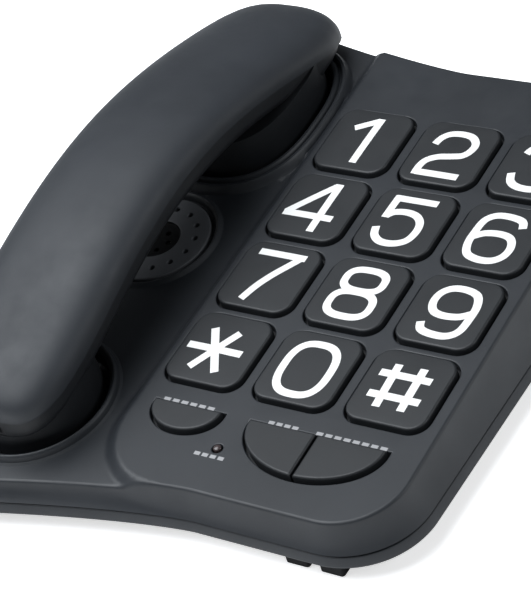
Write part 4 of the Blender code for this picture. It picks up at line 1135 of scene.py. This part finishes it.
def front_section(share):
    """The inner shell between the cups: upright sides and a rounded underside."""
    y = HANDSET_Y + share * (HANDSET_LENGTH / 2 - INNER_INSET)
    wide = max(half_width(share) - INNER_INSET, NARROWEST)
    lip = FRONT_EDGE
    top = parting(y) - SHELL_LIP - lip
    base = min(handle_bottom(y), top - THINNEST_FRONT)
    corner = min(FRONT_CORNER, (top - base) * 0.6, wide * 0.5)
    found = [(wide - lip, y, top), (-wide + lip, y, top), (-wide, y, top - lip)]
    for start, x in ((180, -wide + corner), (270, wide - corner)):
        found += [(px, y, pz) for (px, pz), _ in arc(x, base + corner, corner, start, start + 90, 6)]
    found.append((wide, y, top - lip))
    return [(HANDSET_X + x, py, z) for x, py, z in found]


def closed_mesh(name, rings):
    build = Build()
    build.solid(rings)
    mesh = build.mesh(name)
    with editing(mesh) as shape:
        bmesh.ops.recalc_face_normals(shape, faces=shape.faces)
    return mesh


def cup_mesh(name, outline, y):
    """A closed cup with a rounded lower edge and a shallow dish for its holes."""
    levels = [(-CUP_CLEARANCE - x_in, CUP_BOTTOM + rise)
              for x_in, rise in CUP_FACE + tuple(fillet(CUP_EDGE, 6))]
    levels.append((-CUP_CLEARANCE, handle_bottom(y) + CUP_OVERLAP))
    return closed_mesh(name, stacked(outline, levels))


def joined(base_mesh, tools):
    """base_mesh with each (mesh, operation) applied to it by exact Booleans."""
    target = show(bpy.data.objects.new("joined", base_mesh))
    helpers = []
    for mesh, operation in tools:
        helpers.append(show(bpy.data.objects.new(mesh.name, mesh)))
        step = target.modifiers.new(mesh.name, "BOOLEAN")
        step.operation = operation
        step.object = helpers[-1]
    bpy.context.view_layer.update()
    seen = target.evaluated_get(bpy.context.evaluated_depsgraph_get())
    mesh = bpy.data.meshes.new_from_object(seen)
    for thing in [target] + helpers:
        bpy.data.objects.remove(thing)
    return mesh


def bore(name, radius, x, y, low, high, count=20):
    """A round tool that cuts from low to high."""
    return closed_mesh(name, turned([(radius, low), (radius, high)], x, y, count)), "DIFFERENCE"


def handset_front():
    """The inner shell with its ear cup, mouth cup, sound holes and cord socket."""
    body = closed_mesh("front_body", [front_section(share) for share in STATIONS])
    tools = [(cup_mesh("ear_cup", ear_outline, EAR_WELL_Y), "UNION"),
             (cup_mesh("mouth_cup", mouth_outline, MOUTH_WELL_Y), "UNION")]
    centres = [(HANDSET_X, EAR_WELL_Y), (HANDSET_X, MOUTH_WELL_Y)]
    ear_ring = circle(SOUND_RING, SOUND_HOLES, HANDSET_X, EAR_WELL_Y)
    for index, (x, y) in enumerate(centres + ear_ring):
        tools.append(bore(f"hole_{index}", SOUND_HOLE, x, y, CUP_BOTTOM - 0.002, CUP_BOTTOM + 0.0035))
    low, high = span("handset_jack")
    left, right, under, over = low[0] - GAP, high[0] + GAP, low[2] - GAP, high[2] + GAP
    socket = [[(left, y, under), (right, y, under), (right, y, over), (left, y, over)]
              for y in (FRONT_TIP - 0.01, high[1] + GAP)]
    tools.append((closed_mesh("jack_space", socket), "DIFFERENCE"))
    for index in (1, 2):
        y = middle(f"handset_screw_{index}")[1]
        base = handle_bottom(y)
        tools.append(bore(f"screw_well_{index}", SCREW_WELL, HANDSET_X, y, base - 0.004, base + 0.0032, 24))
    mesh = joined(body, tools)
    # The inner shell takes the darkened copy of the handset's plastic, which paints the shade it sits in.
    made = place("handset_front", mesh, HANDSET_FRONT_SHADED, "handset", 32)
    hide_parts("handset_inner_shell")


# ---- small pieces

SHANK = 0.0012
THREAD_TURNS = 7
THREAD_ROOT = 0.78  # share of the shank's radius
HEAD_HEIGHT = 0.0016
HEAD_TOP = 0.00005
HEAD_PROFILE = ((0.55, HEAD_TOP), (0.8, 0.0002), (0.95, 0.0006), (1.0, 0.0011), (1.0, HEAD_HEIGHT))
CROSS_DEPTH = 0.0009
FOOT_NOTCH = 0.0035
FOOT_CORNER = 0.0009
PLUNGER_CAP = (0.0090, 0.0056, 0.0012)  # width, length and corner
LENS_FLANGE = 0.0018
LENS_RADIUS = 0.0012
LENS_SIDE = 0.0001
LENS_CROWN = 0.0006


def screw(node, body):
    """A pan head with a cross recess on a threaded shank."""
    low, high = span(node)
    x, y, _ = middle(node)
    head = (high[0] - low[0]) / 2
    face, under = low[2] + HEAD_TOP, low[2] + HEAD_HEIGHT
    build = Build()
    levels = [(head * share, low[2] + rise) for share, rise in HEAD_PROFILE] + [(SHANK, under + 0.0001)]
    for i in range(THREAD_TURNS):
        z = under + 0.0004 + (high[2] - under - 0.0012) * i / THREAD_TURNS
        levels += [(SHANK, z), (SHANK * THREAD_ROOT, z + 0.0003)]
    first, last = build.chain(turned(levels + [(0.0002, high[2])], x, y, 32))
    arm, blade = head * 0.5, head * 0.13
    quarter = [(arm, blade), (blade, blade), (blade, arm)]
    cross = []
    for _ in range(4):
        cross += quarter
        quarter = [(-cy, cx) for cx, cy in quarter]
    rim, deep = build.chain([[(x + cx * share, y + cy * share, z) for cx, cy in cross]
                             for share, z in ((1.0, face), (0.7, low[2] + CROSS_DEPTH))])
    build.faces += [tuple(last), tuple(deep)]
    build.plate(first, level(face), [rim])
    made = build.piece(node + "_detail", STEEL, body, outward=False)
    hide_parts(node)


def foot(node):
    """Two rubber blocks on a web, with softened edges."""
    low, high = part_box(node)
    half = (high.x - low.x - FOOT_NOTCH) / 4
    centre = (low.x + high.x) / 2
    inverse = PANEL.inverted()
    build = Build()

    def block(x, half_x, y0, y1, z0, z1, soften):
        rings = []
        for grow, z in ((-soften, z0), (0.0, z0 + soften), (0.0, z1)):
            outline = rounded_rectangle(2 * half_x + 2 * grow, y1 - y0 + 2 * grow, FOOT_CORNER + grow,
                                        x, (y0 + y1) / 2, 4)
            rings.append([tuple(inverse @ Vector((px, py, z))) for px, py in outline])
        build.solid(rings)

    for side in (-1, 1):
        block(centre + side * (FOOT_NOTCH / 2 + half), half, low.y, high.y, low.z, high.z, 0.0005)
    block(centre, FOOT_NOTCH, high.y - 0.0030, high.y - 0.0003, low.z + 0.0012, high.z - 0.0002, 0.0003)
    made = build.piece(node + "_rubber", RUBBER, "base", outward=False)
    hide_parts(node)


def plunger():
    """The cradle switch's rounded plunger."""
    build = Build()
    low, high = span("hook_plunger")
    x, y, _ = middle("hook_plunger")
    width, length, corner = PLUNGER_CAP

    def outline(grow):
        return rounded_rectangle(width + 2 * grow, length + 2 * grow, corner + grow, x, y)

    levels = [(-0.0008, low[2]), (0.0, low[2] + 0.0015)]
    levels += [(-x_in, high[2] - down) for x_in, down in fillet(0.0009)[::-1]]
    build.solid(stacked(outline, levels))
    made = build.piece("hook_plunger_cap", KEYCAP, "hook_plunger")
    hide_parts("hook_plunger")


def lens():
    build = Build()
    x, y, _ = middle("led_lens")
    levels = [(LENS_FLANGE, span("led_lens")[0][2]), (LENS_FLANGE, -WALL - 0.0003),
              (LENS_RADIUS, -WALL - 0.0002), (LENS_RADIUS, LENS_SIDE)]
    for i in range(1, 6):
        angle = math.pi / 2 * i / 6
        levels.append((LENS_RADIUS * math.cos(angle), LENS_SIDE + LENS_CROWN * math.sin(angle)))
    first, last = build.chain(turned(levels, x, y, 24))
    build.faces.append(tuple(first))
    build.fan(last, (x, y, LENS_SIDE + LENS_CROWN))
    made = build.piece("led_dome", LENS, "base")
    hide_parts("led_lens")


def finish_cad_nodes():
    """Every CAD node still shown takes the procedural finish of its own slot."""
    slots = {entry["node"]: entry.get("material_slot") or entry.get("slot")
             for entry in frame["record"]["subparts"]}
    for name, node in frame["nodes"].items():
        if node.hide_render:
            continue
        node.data.materials.clear()
        node.data.materials.append(FINISHES.get(slots.get(name), SHELL))
        edge = node.modifiers.new("soft_edges", "BEVEL")
        edge.width = 0.0002
        edge.segments = 2
        edge.angle_limit = math.radians(40)


# ---- the object

base_upper_shell()
base_lower_shell()
for key in NUMBER_KEYS:
    number_key(key)
    print_digit(key)
function_key("mic_key", MIC)
function_key("flash_key", CALL, high=-CALL_KEYS_SPLIT)
function_key("redial_key", CALL, low=CALL_KEYS_SPLIT)
print_labels()
speaker_disc()
lens()
plunger()
handset_back()
handset_front()
for number in range(1, 5):
    screw(f"base_screw_{number}", "base")
for number in (1, 2):
    screw(f"handset_screw_{number}", "handset")
for corner in ("front_right", "front_left", "rear_right", "rear_left"):
    foot("foot_" + corner)
finish_cad_nodes()
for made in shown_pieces():
    made.data.transform(made.matrix_basis)
    made.matrix_basis = Matrix.Identity(4)

# ---- stage, light, camera

PAPER_GLOW = 0.65  # keeps the paper white to the camera where the light falls off
FLOOR_REACH = 6.0
DAYLIGHT = (0.93, 0.965, 1.0)
SKY_STRENGTH = 0.11


def floor():
    r = FLOOR_REACH
    mesh = bpy.data.meshes.new("floor")
    mesh.from_pydata([(-r, -r, 0), (r, -r, 0), (r, r, 0), (-r, r, 0)], [], [(0, 1, 2, 3)])
    made = show(bpy.data.objects.new("floor", mesh))
    paper = bpy.data.materials.new("paper")
    paper.use_nodes = True
    shader = paper.node_tree.nodes["Principled BSDF"]
    shader.inputs["Base Color"].default_value = (0.92, 0.92, 0.92, 1)
    shader.inputs["Roughness"].default_value = 0.9
    shader.inputs["Emission Color"].default_value = (1, 1, 1, 1)
    ray = paper.node_tree.nodes.new("ShaderNodeLightPath")
    glow = paper.node_tree.nodes.new("ShaderNodeMath")
    glow.operation = "MULTIPLY"
    glow.inputs[1].default_value = PAPER_GLOW
    paper.node_tree.links.new(ray.outputs["Is Camera Ray"], glow.inputs[0])
    paper.node_tree.links.new(glow.outputs["Value"], shader.inputs["Emission Strength"])
    mesh.materials.append(paper)


def area_light(name, place_at, aim, size, power):
    data = bpy.data.lights.new(name, "AREA")
    data.color = DAYLIGHT
    data.shape = "RECTANGLE"
    data.size = data.size_y = size
    data.energy = power
    made = show(bpy.data.objects.new(name, data))
    made.location = place_at
    made.rotation_euler = (Vector(aim) - Vector(place_at)).to_track_quat("-Z", "Y").to_euler()


def lights():
    world = bpy.data.worlds.new("studio")
    bpy.context.scene.world = world
    world.use_nodes = True
    sky = world.node_tree.nodes["Background"]
    sky.inputs["Color"].default_value = (*DAYLIGHT, 1.0)
    sky.inputs["Strength"].default_value = SKY_STRENGTH
    area_light("key_light", (-0.55, -0.30, 1.28), (0, 0, 0.03), 1.5, 38)
    area_light("side_light", (1.1, 0.4, 0.6), (0, 0, 0.02), 0.5, 3.5)


CAMERA_PLACE = (0.37114, -0.42998, 0.45172)
CAMERA_TURN = (51.014, 13.550, 30.963)
LENS_LENGTH = 144.445


def camera():
    data = bpy.data.cameras.new("camera")
    data.lens = LENS_LENGTH
    data.sensor_width = 36
    made = show(bpy.data.objects.new("camera", data))
    made.location = CAMERA_PLACE
    made.rotation_euler = [math.radians(angle) for angle in CAMERA_TURN]
    bpy.context.scene.camera = made


floor()
lights()
camera()
bpy.context.scene.view_settings.view_transform = "Standard"
